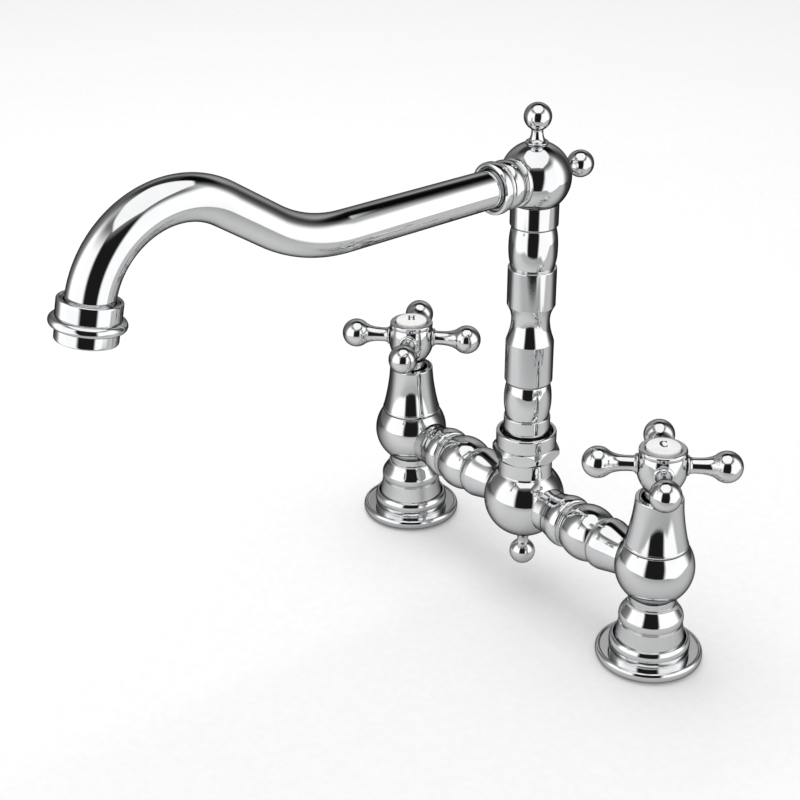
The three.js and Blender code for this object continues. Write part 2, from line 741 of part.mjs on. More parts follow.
// A finial screws into a small flat on a ball: the flat's distance from the ball's centre, and the
// bottom of the tapped hole.
function finialFace(ballRadius) {
  return side(ballRadius, finialBaseRadius);
}

function finialStudTop(ballRadius) {
  return finialFace(ballRadius) - finialStudLength - fit;
}

// A small turned finial, made along +Z from the centre of the ball that it stands on.
function finial(ballRadius) {
  const base = finialFace(ballRadius) + fit;
  const centre = ballRadius + finialStand;
  const from = 153 * DEG;
  const neckTop = centre + finialBallRadius * Math.cos(from);
  const outline = new THREE.Path()
    .moveTo(0, base - finialStudLength)
    .lineTo(finialStudRadius, base - finialStudLength)
    .lineTo(finialStudRadius, base)
    .lineTo(finialBaseRadius - 0.3, base)
    .lineTo(finialBaseRadius, base + 0.5)
    .quadraticCurveTo(finialNeckRadius, base + 1.6, finialBallRadius * Math.sin(from), neckTop)
    .absarc(0, centre, finialBallRadius, Math.PI / 2 - from, Math.PI / 2);
  return turned(outline, SMALL, 2);
}

function swivelNut() {
  const bore = threadRadius + fit;
  const webBore = columnSpigotRadius + fit;
  const outline = corners(
    [bore, nutBottom],
    [nutCollarRadius, nutBottom],
    [nutCornerRadius, nutBottom + nutChamferHeight],
    [nutCornerRadius, collarBottom - nutChamferHeight],
    [nutCollarRadius, collarBottom],
    [nutCollarRadius, nutTop],
    [mouthBore, nutTop],
    [mouthBore, webUpper],
    [webBore, webUpper],
    [webBore, webUnderside],
    [bore, webUnderside],
  );
  const across = nutAcrossFlats / Math.cos(30 * DEG) / 2;
  const hexagon = rod(across, nutBottom - 1, nutTop + 1, 6).rotateZ((nutTurn - 30) * DEG);
  return toGeometry(toSolid(turned(outline)).intersect(toSolid(hexagon)));
}

function retainingRing() {
  const gap = 12 * DEG;
  const outline = new THREE.Shape()
    .absarc(0, 0, threadRadius - 0.8, gap, Math.PI * 2 - gap)
    .absarc(0, 0, grooveRadius + fit, Math.PI * 2 - gap, gap, true);
  const form = { depth: retainerThickness, bevelEnabled: false, curveSegments: 6 };
  return new THREE.ExtrudeGeometry(outline, form).translate(0, 0, retainerBottom);
}

function swivelBush() {
  return ring(columnEndRadius + fit, mouthBore - fit, webUpper + fit, nutTop - bushDepth);
}

// ---------------------------------------------------------------- column
const columnBase = columnEndBottom;
const endTop = columnBase + columnEndLength;
const barrelTop = endTop + lowerBarrelLength;
const shaftTop = barrelTop + lowerShaftLength + 1.2;
const coveTop = shaftTop + coveLength;
const upperShaftTop = coveTop + upperShaftLength;
const upperBarrelTop = upperShaftTop + upperBarrelLength;
const columnTop = spoutHeight - side(topBallRadius, columnNeckRadius) - fit;
const sealLevels = [spigotBottom + 4, spigotBottom + 10];

function spoutColumn() {
  const barrelBulge = 2 * barrelRadius - barrelEndRadius;
  const spigotTop = columnTop + topSpigotLength;
  const outline = new THREE.Path().moveTo(columnBore, spigotBottom);
  outline.lineTo(columnSpigotRadius, spigotBottom);
  const grooves = sealLevels.map((level) => [level - ringSection / 2 - fit, level + ringSection / 2 + fit]);
  grooves.push([retainerBottom - fit, retainerBottom + retainerThickness + fit]);
  for (const [bottom, top] of grooves) {
    outline.lineTo(columnSpigotRadius, bottom);
    outline.lineTo(grooveRadius, bottom);
    outline.lineTo(grooveRadius, top);
    outline.lineTo(columnSpigotRadius, top);
  }
  outline
    .lineTo(columnSpigotRadius, columnBase)
    .lineTo(columnEndRadius, columnBase)
    .lineTo(columnEndRadius, endTop)
    .lineTo(barrelEndRadius, endTop - 0.4)
    .quadraticCurveTo(barrelBulge, (endTop + barrelTop) / 2, barrelEndRadius, barrelTop)
    .lineTo(shaftRadius, barrelTop + 1.4)
    .lineTo(shaftRadius, shaftTop)
    .quadraticCurveTo(coveRadius, shaftTop + coveRise / 2, coveRadius, shaftTop + coveRise)
    .quadraticCurveTo(coveRadius, (shaftTop + coveRise + coveTop * 2) / 3, shaftRadius, coveTop)
    .lineTo(shaftRadius, upperShaftTop - 0.6)
    .lineTo(barrelEndRadius, upperShaftTop + 0.4)
    .quadraticCurveTo(barrelBulge, (upperShaftTop + upperBarrelTop) / 2, barrelEndRadius, upperBarrelTop)
    .lineTo(columnNeckRadius, upperBarrelTop + 1.4)
    .lineTo(columnNeckRadius, columnTop)
    .lineTo(topSpigotRadius, columnTop)
    .lineTo(topSpigotRadius, spigotTop)
    .lineTo(columnBore, spigotTop);
  return turned(outline, FINE, 3);
}

piece(faucet, 'centre_body', centreBody(), finish.chrome);
const lowerFinial = pointDown(finial(centreBallRadius)).translate(0, 0, bridgeHeight);
piece(faucet, 'bottom_finial', lowerFinial, finish.chrome);
piece(faucet, 'swivel_nut', swivelNut(), finish.chrome);
piece(faucet, 'swivel_bush', swivelBush(), finish.nylon);

piece(faucet, 'swivel_retaining_ring', retainingRing(), finish.brass);
piece(faucet, 'spout_column', spoutColumn(), finish.chrome);
const sealNames = ['swivel_seal_lower', 'swivel_seal_upper'];
sealNames.forEach((name, i) => {
  const seal = sealRing(grooveRadius + fit / 2, columnGrooveDepth - 0.3, sealLevels[i], FINE);
  piece(faucet, name, seal, finish.rubber);
});

// ---------------------------------------------------------------- top ball, finials and spout
const topBall = new THREE.Group();
topBall.position.z = spoutHeight;
faucet.add(topBall);
const socketFace = side(topBallRadius, socketFaceRadius) + fit;
const socketSpigotRadius = spoutStartRadius - spoutWall + 1;
const tubeStart = socketFace + socketRingWidth + 3.6;

function topBallBody() {
  const opening = columnTop + fit - spoutHeight;
  const socket = topSpigotRadius + fit;
  const socketTop = columnTop + topSpigotLength + fit - spoutHeight;
  const outline = new THREE.Path()
    .moveTo(columnNeckRadius, opening)
    .absarc(0, 0, topBallRadius, -Math.acos(columnNeckRadius / topBallRadius), Math.PI / 2)
    .lineTo(0, columnBore)
    .lineTo(columnBore, columnBore)
    .lineTo(columnBore, socketTop)
    .lineTo(socket, socketTop)
    .lineTo(socket, opening);
  const spotFace = rod(socketFaceRadius + fit, socketFace - fit, topBallRadius + 1);
  const port = rod(socketSpigotRadius + fit, 0, topBallRadius + 1, MEDIUM);
  const tools = [pointFront(spotFace), pointFront(port)];
  for (const aim of [(tool) => tool, pointBack]) {
    tools.push(aim(rod(finialStudRadius + fit, finialStudTop(topBallRadius), topBallRadius + 1, SMALL)));
    tools.push(aim(rod(finialBaseRadius + fit, finialFace(topBallRadius), topBallRadius + 1, MEDIUM)));
  }
  return cut(turned(outline, FINE, 3), ...tools);
}

// The turned socket between ball and tube: ring, groove, convex band, groove and lipped mouth.
function spoutSocket() {
  const bandStart = socketFace + socketRingWidth + 0.8;
  const lipStart = socketMouth - 3.2;
  const bandRadius = socketFaceRadius - 0.7;
  const outline = new THREE.Path()
    .moveTo(socketSpigotRadius - 1.6, socketFace - portDepth)
    .lineTo(socketSpigotRadius, socketFace - portDepth)
    .lineTo(socketSpigotRadius, socketFace)
    .lineTo(socketFaceRadius, socketFace)
    .lineTo(socketFaceRadius, socketFace + socketRingWidth)
    .lineTo(bandRadius, bandStart)
    .quadraticCurveTo(socketFaceRadius + 1, (bandStart + lipStart) / 2, bandRadius, lipStart - 0.8)
    .lineTo(socketRingRadius, lipStart)
    .lineTo(socketRingRadius - 0.3, socketMouth)
    .lineTo(spoutStartRadius + 1.7, socketMouth)
    .lineTo(spoutStartRadius + fit, socketMouth - 1)
    .lineTo(spoutStartRadius + fit, tubeStart - fit)
    .lineTo(socketSpigotRadius - 1.6, tubeStart - fit);
  return turned(outline, FINE, 3);
}

// Centreline of the swan neck in its own plane: x forward from the column, y up from the run's axis.
function spoutLine() {
  const line = new THREE.Path().moveTo(tubeStart, 0);
  line.lineTo(spoutRun, 0);
  line.absarc(spoutRun, riseRadius, riseRadius, -Math.PI / 2, climbAngle * DEG - Math.PI / 2);
  const climb = new THREE.Vector2(Math.cos(climbAngle * DEG), Math.sin(climbAngle * DEG));
  const crownStart = line.currentPoint.clone().addScaledVector(climb, climbLength);
  line.lineTo(crownStart.x, crownStart.y);
  const centre = crownStart.clone().add(new THREE.Vector2(climb.y, -climb.x).multiplyScalar(crownRadius));
  line.absarc(centre.x, centre.y, crownRadius, (90 + climbAngle) * DEG, (90 - dropAngle) * DEG, true);
  const drop = new THREE.Vector2(Math.cos(dropAngle * DEG), -Math.sin(dropAngle * DEG));
  const end = line.currentPoint.clone().addScaledVector(drop, spoutEndLength);
  return line.lineTo(end.x, end.y);
}

// A tapering tube of even wall, swept along a plane centreline, as one closed skin.
function sweptTube(line, startRadius, endRadius, wall, sides) {
  const stations = [line.getPoint(0)];
  for (const curve of line.curves) {
    const turn = curve.isEllipseCurve ? Math.abs(curve.aEndAngle - curve.aStartAngle) : 0;
    const steps = Math.max(1, Math.round(turn / (stationAngle * DEG)));
    stations.push(...curve.getPoints(steps).slice(1));
  }
  const reach = [0];
  for (let i = 1; i < stations.length; i += 1) {
    reach.push(reach[i - 1] + stations[i].distanceTo(stations[i - 1]));
  }
  const positions = [];
  stations.forEach((station, i) => {
    const before = stations[Math.max(i - 1, 0)];
    const after = stations[Math.min(i + 1, stations.length - 1)];
    const along = after.clone().sub(before).normalize();
    const radius = THREE.MathUtils.lerp(startRadius, endRadius, reach[i] / reach.at(-1));
    for (const size of [radius, radius - wall]) {
      for (let k = 0; k < sides; k += 1) {
        const angle = (k * 2 * Math.PI) / sides;
        const lift = size * Math.cos(angle);
        positions.push(size * Math.sin(angle));
        positions.push(-(station.x - along.y * lift));
        positions.push(station.y + along.x * lift);
      }
    }
  });
  const faces = [];
  const quad = (a, b, c, d) => faces.push(a, b, c, a, c, d);
  const last = (stations.length - 1) * 2 * sides;
  for (let k = 0; k < sides; k += 1) {
    const next = (k + 1) % sides;
    for (let i = 0; i < stations.length - 1; i += 1) {
      const here = i * 2 * sides;
      const there = here + 2 * sides;
      quad(here + k, there + k, there + next, here + next);
      quad(here + sides + k, here + sides + next, there + sides + next, there + sides + k);
    }
    quad(k, next, sides + next, sides + k);
    quad(last + k, last + sides + k, last + sides + next, last + next);
  }
  const tube = new THREE.BufferGeometry();
  tube.setAttribute('position', new THREE.Float32BufferAttribute(positions, 3));
  tube.setIndex(faces);
  return tube;
}

const swanNeck = spoutLine();
piece(topBall, 'top_ball', topBallBody(), finish.chrome);
piece(topBall, 'top_finial', finial(topBallRadius), finish.chrome);
piece(topBall, 'back_finial', pointBack(finial(topBallRadius)), finish.chrome);
piece(topBall, 'spout_socket', pointFront(spoutSocket()), finish.chrome);
const spoutTube = sweptTube(swanNeck, spoutStartRadius, spoutEndRadius, spoutWall, MEDIUM);
piece(topBall, 'spout_tube', spoutTube, finish.chrome);

// ---------------------------------------------------------------- nozzle and aerator
// Made with the lip at z = 0 and the water leaving along -Z, then set on the end of the tube.
const nozzleBore = spoutEndRadius + fit;
const nozzleThroat = spoutEndRadius - spoutWall;
const aeratorTop = -(nozzleLength - 0.6 - aeratorHeight);
const washerBottom = aeratorTop + fit;
const chamberTop = washerBottom + washerThickness + fit;

function nozzleBody() {
  const ringTop = -nozzleRingDepth + nozzleRingSection;
  const ringBottom = -nozzleRingDepth - nozzleRingSection;
  const chamber = aeratorRadius + fit;
  const outline = new THREE.Path()
    .moveTo(nozzleBore, -0.3)
    .lineTo(nozzleBore, -nozzleSocketDepth - fit)
    .lineTo(nozzleThroat, -nozzleSocketDepth - fit)
    .lineTo(nozzleThroat, chamberTop)
    .lineTo(chamber, chamberTop)
    .lineTo(chamber, -nozzleLength)
    .lineTo(nozzleLowerRadius - 0.3, -nozzleLength)
    .lineTo(nozzleLowerRadius, ringBottom)
    .bezierCurveTo(
      nozzleRingRadius + 0.8, ringBottom,
      nozzleRingRadius + 0.8, ringTop,
      nozzleRadius, ringTop,
    )
    .lineTo(nozzleRadius - 0.2, 0)
    .lineTo(nozzleBore + 1.5, 0)
    .lineTo(nozzleBore + 1, -0.9);
  return turned(outline, FINE, 3);
}

function aerator() {
  const outline = new THREE.Shape().absarc(0, 0, aeratorRadius, 0, Math.PI * 2);
  const centres = [[0, 0]];
  for (let i = 0; i < aeratorHoles; i += 1) {
    const angle = (i * 2 * Math.PI) / aeratorHoles;
    centres.push([aeratorHoleCircle * Math.cos(angle), aeratorHoleCircle * Math.sin(angle)]);
  }
  outline.holes = centres.map(([x, y]) => new THREE.Path().absarc(x, y, aeratorHoleRadius, 0, Math.PI * 2));
  return new THREE.ExtrudeGeometry(outline, { depth: aeratorHeight, bevelEnabled: false, curveSegments: 3 })
    .translate(0, 0, aeratorTop - aeratorHeight);
}

function aeratorWasher() {
  return ring(nozzleThroat, aeratorRadius - fit, washerBottom, washerBottom + washerThickness, MEDIUM);
}

const lip = new THREE.Group();
const flow = new THREE.Vector2(Math.cos(dropAngle * DEG), -Math.sin(dropAngle * DEG));
const tubeEnd = swanNeck.getPoint(1).addScaledVector(flow, -nozzleSocketDepth);
lip.position.set(0, -tubeEnd.x, tubeEnd.y);
lip.rotation.x = (dropAngle - 90) * DEG;
topBall.add(lip);
piece(lip, 'nozzle', nozzleBody(), finish.chrome);
piece(lip, 'aerator', aerator(), finish.nylon);
piece(lip, 'aerator_washer', aeratorWasher(), finish.rubber);

// The origin is under the middle of the faucet's box, on the deck.
const extent = new THREE.Box3().setFromObject(faucet, true);
faucet.position.y = -(extent.min.y + extent.max.y) / 2;

export default faucet;
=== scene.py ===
# %% [markdown]
# # A polished bridge faucet, dressed for the studio
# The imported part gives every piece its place: this script loads it first and builds round it. The lathe-cut
# pieces of the part have few facets, so each visible one gets a fine skin of the same section here.
# Everything is in metres once it reaches Blender, while sections are drawn in millimetres.

# %% Load the part
import json
from math import acos, cos, degrees, pi, radians, sin, sqrt

import bmesh
import bpy
from mathutils import Matrix, Vector


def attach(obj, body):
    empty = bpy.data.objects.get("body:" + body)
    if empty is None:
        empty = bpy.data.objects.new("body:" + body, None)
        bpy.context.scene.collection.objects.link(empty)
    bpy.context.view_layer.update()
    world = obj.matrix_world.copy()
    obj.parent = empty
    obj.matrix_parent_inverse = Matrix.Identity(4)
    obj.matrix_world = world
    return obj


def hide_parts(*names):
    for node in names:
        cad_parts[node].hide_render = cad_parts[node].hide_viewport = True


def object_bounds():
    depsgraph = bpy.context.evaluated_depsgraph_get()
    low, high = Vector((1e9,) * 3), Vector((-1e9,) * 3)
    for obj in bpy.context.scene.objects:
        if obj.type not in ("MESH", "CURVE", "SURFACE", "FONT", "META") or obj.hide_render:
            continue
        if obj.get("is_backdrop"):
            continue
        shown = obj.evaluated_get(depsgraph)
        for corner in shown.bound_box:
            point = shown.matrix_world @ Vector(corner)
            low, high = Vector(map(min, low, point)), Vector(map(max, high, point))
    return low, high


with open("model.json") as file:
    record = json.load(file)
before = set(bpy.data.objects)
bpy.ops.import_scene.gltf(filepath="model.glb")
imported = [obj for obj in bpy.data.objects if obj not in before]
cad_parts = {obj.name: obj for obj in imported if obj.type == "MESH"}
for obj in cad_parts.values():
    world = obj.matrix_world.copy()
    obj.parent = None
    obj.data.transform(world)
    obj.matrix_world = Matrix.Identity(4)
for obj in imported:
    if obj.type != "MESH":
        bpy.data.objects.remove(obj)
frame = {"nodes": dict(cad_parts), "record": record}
part_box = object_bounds()
scene = bpy.context.scene

# %% [markdown]
# ## Where things are
# The faucet stands on the deck plane, z = 0, with hot on -X and cold on +X. The column isn't in the middle of
# the box, because the spout reaches so far forward, so one shift along Y places everything. The axes of the
# pillars, the heights of the balls and the angles of the cross handles are the sizes that the rest hangs on.
# Where a turned neck or seat meets a ball, the radius at which they meet is shared, so it has a name as well.

# %% Axes, heights and shared radii, in millimetres
METRE = 1000
COLUMN_Y = 107.907
PILLARS = {"hot": -90, "cold": 90}
HANDLE_ANGLE = {"hot": 42.2, "cold": 46.3}
VALVE_Z, BRIDGE_Z, SPOUT_Z = 49.5, 46.7, 216.2
VALVE_BALL, CENTRE_BALL, TOP_BALL = 18.85, 20.15, 16.75
FOOT_NECK, BONNET_SEAT, BRIDGE_END, CENTRE_NECK, COLUMN_HEAD = 11.1, 14.9, 11, 13.3, 11.5
GAP = 0.3


def leg(hypotenuse, other):
    """The other short side of a right triangle."""
    return sqrt(hypotenuse**2 - other**2)


def place(x=0, z=0, *turns):
    """A matrix that sets a piece on the axis at x, lifted by z, after the given turns."""
    matrix = Matrix.Translation((x, COLUMN_Y, z))
    for angle, axis in turns:
        matrix = matrix @ Matrix.Rotation(radians(angle), 4, axis)
    return matrix


TO_RIGHT, TO_BACK, TO_FRONT, TO_FLOOR = (90, "Y"), (-90, "X"), (90, "X"), (180, "X")
print("valve ball ends at", round(VALVE_Z + VALVE_BALL, 2), "mm")

# %% [markdown]
# ## Drawing a section
# A turned piece is known by half of its section. An outline collects points of radius and height, by straight
# lines, Bezier curves and arcs. Every section below is such a drawing, and its pairs of numbers are its
# points. Real chrome has no knife edges, and it is the small bright line on each broken edge that makes it
# read as metal, so every corner is rounded before it is turned.

# %% Outline
ARC_STEP = 3
SAME_SPOT = 1e-4
CORNER = radians(22)
EDGE_STEPS, LARGEST_CUT = 5, 0.4


class Outline:
    """Half of a turned section: points of radius and height along the axis."""

    def __init__(self, radius, height):
        self.points = [Vector((radius, height))]

    def line(self, *ends):
        self.points += [Vector(end) for end in ends]
        return self

    def curve(self, *controls, steps=18):
        row = [self.points[-1], *map(Vector, controls)]
        for step in range(1, steps + 1):
            level = row
            while len(level) > 1:
                level = [a.lerp(b, step / steps) for a, b in zip(level, level[1:])]
            self.points.append(level[0])
        return self

    def arc(self, height, radius, start, end, radius_of_centre=0):
        steps = max(3, round(abs(end - start) / ARC_STEP))
        for step in range(steps + 1):
            angle = radians(start + (end - start) * step / steps)
            point = Vector((radius_of_centre + radius * cos(angle), height + radius * sin(angle)))
            if (point - self.points[-1]).length > SAME_SPOT:
                self.points.append(point)
        return self


def broken_edges(points, size, closed):
    """The same points with each corner rounded off, by no more than a part of the lines beside it."""
    result = []
    count = len(points)
    for i, here in enumerate(points):
        back, ahead = points[i - 1] - here, points[(i + 1) % count] - here
        if not closed and i in (0, count - 1) or pi - back.angle(ahead, pi) < CORNER:
            result.append(here)
            continue
        largest = min(size, back.length * LARGEST_CUT, ahead.length * LARGEST_CUT)
        start, end = here + back.normalized() * largest, here + ahead.normalized() * largest
        for step in range(EDGE_STEPS + 1):
            t = step / EDGE_STEPS
            result.append(start.lerp(here, t).lerp(here.lerp(end, t), t))
    return result


trial = Outline(0, 0).line((10, 0), (10, 5), (0, 5))
print("a plain disc of", len(trial.points), "points has", len(broken_edges(trial.points, 0.4, False)))

# %% [markdown]
# ## Turning a section
# Revolving the outline gives the mesh. Blender would guess each vertex normal from the faces round it, which
# bends the reflections where a long flat meets a tight round. The true normals are known from the section, so
# they are worked out here, leaning towards the longer of the two lines at a point, and stored on the mesh.

# %% Lathe
ON_AXIS = 1e-6


def circle(sides):
    """The angle of each side round an axis."""
    return [2 * pi * k / sides for k in range(sides)]


def band(low, high, sides):
    """The faces between two rings of vertices, numbered from low and from high."""
    return [[low + k, low + (k + 1) % sides, high + (k + 1) % sides, high + k] for k in range(sides)]


def section_normals(points, closed):
    """The normals of a section: the longer line beside a point counts for more."""
    normals = []
    count = len(points)
    for i, here in enumerate(points):
        before = points[i - 1] if closed or i else here
        after = points[(i + 1) % count] if closed or i < count - 1 else here
        back, ahead = here - before, after - here
        along = back.normalized() * back.length**2 + ahead.normalized() * ahead.length**2
        normals.append(Vector((along.y, -along.x)).normalized())
    return normals


def turned(outline, matrix, sides=96, edge=0.35):
    """A mesh turned from an outline and set in place: vertices, faces and normals, in metres."""
    points = outline.points
    closed = points[0].x > ON_AXIS or points[-1].x > ON_AXIS
    area = sum(a.x * b.y - b.x * a.y for a, b in zip(points, points[1:] + points[:1]))
    if area < 0:
        points = points[::-1]
    points = broken_edges(points, edge, closed)
    normals = section_normals(points, closed)
    verts, tips, rows, faces = [], [], [], []
    for point, normal in zip(points, normals):
        pole = point.x < ON_AXIS
        first = len(verts)
        for a in circle(1 if pole else sides):
            verts.append(Vector((point.x * cos(a), point.x * sin(a), point.y)))
            tips.append(Vector((0, 0, 1 if normal.y > 0 else -1)) if pole
                        else Vector((normal.x * cos(a), normal.x * sin(a), normal.y)))
        rows.append(range(first, len(verts)))
    for low, high in zip(rows, rows[1:] + (rows[:1] if closed else [])):
        for k in range(sides):
            a, b = low[k % len(low)], low[(k + 1) % len(low)]
            c, d = high[(k + 1) % len(high)], high[k % len(high)]
            corners = list(dict.fromkeys((a, b, c, d)))
            if len(corners) > 2:
                faces.append(corners)
    spin = matrix.to_3x3()
    return [matrix @ v / METRE for v in verts], faces, [spin @ n for n in tips]


print("a turned disc has", len(turned(trial, place())[0]), "vertices")

# %% [markdown]
# ## From mesh to piece
# Each fine skin rides on the body that carries its node, stands in for that node, which is hidden, and takes
# the finish it is given. One function does all of that, so that no piece is left behind when a handle turns.

# %% Pieces and their bodies
def body_of(node):
    """The body of the part that carries a node."""
    bodies = frame["record"]["behaviour"]["bodies"]
    return next(body for body, nodes in bodies.items() if node in nodes)


def linked(name, data):
    """A new object, linked to the scene."""
    made = bpy.data.objects.new(name, data)
    scene.collection.objects.link(made)
    return made


def smooth_mesh(name, skin, finish):
    """A smooth mesh that keeps the true normals of its skin."""
    verts, faces, tips = skin
    mesh = bpy.data.meshes.new(name)
    mesh.from_pydata(verts, [], faces)
    mesh.polygons.foreach_set("use_smooth", [True] * len(faces))
    mesh.normals_split_custom_set_from_vertices(tips)
    mesh.materials.append(finish)
    return mesh


def piece(node, skin, finish):
    """One object made of a skin, in place of a node of the part."""
    made = linked(f"fine_{node}", smooth_mesh(f"fine_{node}", skin, finish))
    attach(made, body_of(node))
    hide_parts(node)


print("spout_tube rides on", body_of("spout_tube"))

# %% [markdown]
# ## Shader maths as formulas
# A wire is one output socket of a node. With the operators overloaded, a formula such as 1 - mask adds its
# own Math nodes. Every other node comes from one method, which takes the node's settings first and its
# sockets after that.

# %% Wires
class Wire:
    """One output of a node, which can be added, taken away, multiplied and divided."""

    def __init__(self, recipe, socket):
        self.recipe, self.socket = recipe, socket

    def __getitem__(self, name):
        return Wire(self.recipe, self.socket.node.outputs[name])

    def maths(self, operation, first, second=0.0):
        return self.recipe.node("ShaderNodeMath", {"operation": operation}, {0: first, 1: second})

    def __add__(self, other):
        return self.maths("ADD", self, other)

    def __radd__(self, other):
        return self.maths("ADD", other, self)

    def __sub__(self, other):
        return self.maths("SUBTRACT", self, other)

    def __rsub__(self, other):
        return self.maths("SUBTRACT", other, self)

    def __mul__(self, other):
        return self.maths("MULTIPLY", self, other)

    def __rmul__(self, other):
        return self.maths("MULTIPLY", other, self)

    def __truediv__(self, other):
        return self.maths("DIVIDE", self, other)

    def __rtruediv__(self, other):
        return self.maths("DIVIDE", other, self)

    def size(self):
        """The value without its sign."""
        return self.maths("ABSOLUTE", self)

    def between(self, low, high, start=0.0, end=1.0):
        """Goes smoothly from start to end as the value goes from low to high."""
        return self.recipe.node(
            "ShaderNodeMapRange", {"interpolation_type": "SMOOTHSTEP"},
            {"Value": self, "From Min": low, "From Max": high, "To Min": start, "To Max": end},
        )


# %% Recipes
class Recipe:
    """The nodes of one material or of the world."""

    def __init__(self, owner):
        owner.use_nodes = True
        self.tree = owner.node_tree
        self.tree.nodes.clear()

    def node(self, kind, settings=None, sockets=None):
        node = self.tree.nodes.new(kind)
        for name, value in (settings or {}).items():
            setattr(node, name, value)
        for name, value in (sockets or {}).items():
            if isinstance(value, Wire):
                self.tree.links.new(value.socket, node.inputs[name])
            else:
                node.inputs[name].default_value = value
        shown = [socket for socket in node.outputs if socket.enabled]
        return Wire(self, shown[0]) if shown else None

    def blend(self, amount, first, second):
        """A colour between two colours."""
        mixed = self.node("ShaderNodeMix", {"data_type": "RGBA"}, {0: amount, 6: first, 7: second})
        return Wire(self, mixed.socket.node.outputs[2])

    def grain(self, where, scale, detail, rough=0.5):
        """Noise from 0 to 1, with features of about one metre over the scale."""
        return self.node("ShaderNodeTexNoise", {}, {
            "Vector": where, "Scale": scale, "Detail": detail, "Roughness": rough,
        })


def grey(level):
    return (level, level, level, 1)


print("recipes ready")

# %% [markdown]
# ## Chrome
# Chromium plate over polished brass is a slightly cool mirror. Three things keep it from looking like a
# computer's mirror: hands and water leave a thin haze that changes its roughness, the polisher's wheel leaves
# long shallow ripples, and the tint of the reflection at a grazing angle is set nearly black, which paints a
# dark edge round every ball. That tint is set on the shader's own socket.

# %% Metals
def metal(name, light, dark, rough, haze, ripple, edge_tint_and_painted_rim):
    """A polished metal with haze in its roughness and shallow polishing ripples."""
    material = bpy.data.materials.new(name)
    recipe = Recipe(material)
    where = recipe.node("ShaderNodeTexCoord")["Object"]
    cloud = recipe.grain(where, 55, 3).between(0.35, 0.7)
    specks = recipe.grain(where, 900, 2).between(0.62, 0.72)
    wheel = recipe.grain(where, 70, 1, 0.4)
    shine = recipe.node("ShaderNodeBump", {}, {"Strength": ripple, "Distance": 0.0002, "Height": wheel})
    plate = recipe.node("ShaderNodeBsdfPrincipled", {}, {
        "Base Color": recipe.blend(cloud, (*light, 1), (*dark, 1)),
        "Metallic": 1.0,
        "Roughness": rough + cloud * haze + specks * haze,
        "Specular Tint": (*edge_tint_and_painted_rim, 1),
        # On the chrome this grazing tint is nearly black, a painted dark rim; on the brass it is a plain edge
        # tint.
        "Normal": shine,
    })
    recipe.node("ShaderNodeOutputMaterial", {}, {"Surface": plate})
    return material


chrome = metal("polished_chrome", (0.86, 0.865, 0.87), (0.82, 0.825, 0.835),
               rough=0.03, haze=0.03, ripple=0.012, edge_tint_and_painted_rim=(0.1, 0.1, 0.11))
brass = metal("turned_brass", (0.80, 0.58, 0.26), (0.68, 0.47, 0.19),
              rough=0.22, haze=0.12, ripple=0.1, edge_tint_and_painted_rim=(0.9, 0.85, 0.7))
print("metals:", chrome.name, brass.name)

# %% [markdown]
# ## Porcelain, ink, rubber, nylon and disc ceramic
# The buttons are glazed porcelain: warm white, glossy, with the faint unevenness of a fired glaze. The letter
# is fired ink. The seals are dull black rubber, the swivel bush and the aerator are moulded nylon, and the
# valve discs are lapped ceramic. Each gets its own grain in colour, roughness and bump, at its own scale.

# %% Other finishes
def moulded(name, light, dark, scale, rough, spread, bump, coat=0.0):
    """A non-metal with mottled colour, uneven roughness and a fine bump."""
    material = bpy.data.materials.new(name)
    recipe = Recipe(material)
    where = recipe.node("ShaderNodeTexCoord")["Object"]
    mottle = recipe.grain(where, scale, 4).between(0.3, 0.7)
    pores = recipe.grain(where, scale * 6, 3, 0.6)
    relief = recipe.node("ShaderNodeBump", {}, {"Strength": bump, "Distance": 0.0001, "Height": pores})
    skin = recipe.node("ShaderNodeBsdfPrincipled", {}, {
        "Base Color": recipe.blend(mottle, (*light, 1), (*dark, 1)),
        "Roughness": rough + pores * spread,
        "Coat Weight": coat,
        "Coat Roughness": 0.04,
        "Normal": relief,
    })
    recipe.node("ShaderNodeOutputMaterial", {}, {"Surface": skin})
    return material


porcelain = moulded("glazed_porcelain", (0.95, 0.95, 0.935), (0.91, 0.91, 0.89), 160, 0.1, 0.08, 0.03, 0.6)
ink = moulded("fired_ink", (0.02, 0.02, 0.022), (0.045, 0.045, 0.05), 900, 0.3, 0.2, 0.1)
rubber = moulded("seal_rubber", (0.022, 0.022, 0.024), (0.05, 0.05, 0.052), 700, 0.6, 0.25, 0.4)
nylon = moulded("moulded_nylon", (0.03, 0.03, 0.033), (0.055, 0.055, 0.06), 500, 0.35, 0.25, 0.2)
disc_ceramic = moulded("lapped_ceramic", (0.86, 0.84, 0.79), (0.78, 0.76, 0.71), 600, 0.25, 0.15, 0.05)
print("finishes:", [m.name for m in (porcelain, ink, rubber, nylon, disc_ceramic)])

# %% [markdown]
# ## Deck flange
# The flange hides the hole in the deck. It has a rolled rim, a flat dish and a rounded collar that closes in
# on the tapering foot, so that only a fine dark ring shows between them. It is turned with its gasket groove
# and its bore, because the underside shows when the part is tipped. The foot narrows to a groove, swells into
# one bulb and flows from there into its neck.

# %% Flanges and feet
NECK_TOP = VALVE_Z - leg(VALVE_BALL, FOOT_NECK) - GAP


def deck_flange():
    return (
        Outline(17.7, 0).line((20.1, 0), (20.1, 1.8), (23.7, 1.8), (23.7, 0), (24.4, 0))
        .curve((25.8, 0.5), (26.2, 3.4), (25.0, 4.6), (24.3, 4.8))
        .curve((23.7, 4.9), (23.8, 4.0), (22.9, 4.0), steps=10)
        .line((19.3, 4.0))
        .curve((18.85, 4.0), (18.8, 4.5), steps=6)
        .curve((19.4, 6.4), (19.9, 10.0), (17.9, 11.7))
        .line((17.5, 11.7), (17.15, 10.9), (17.7, 9))
    )


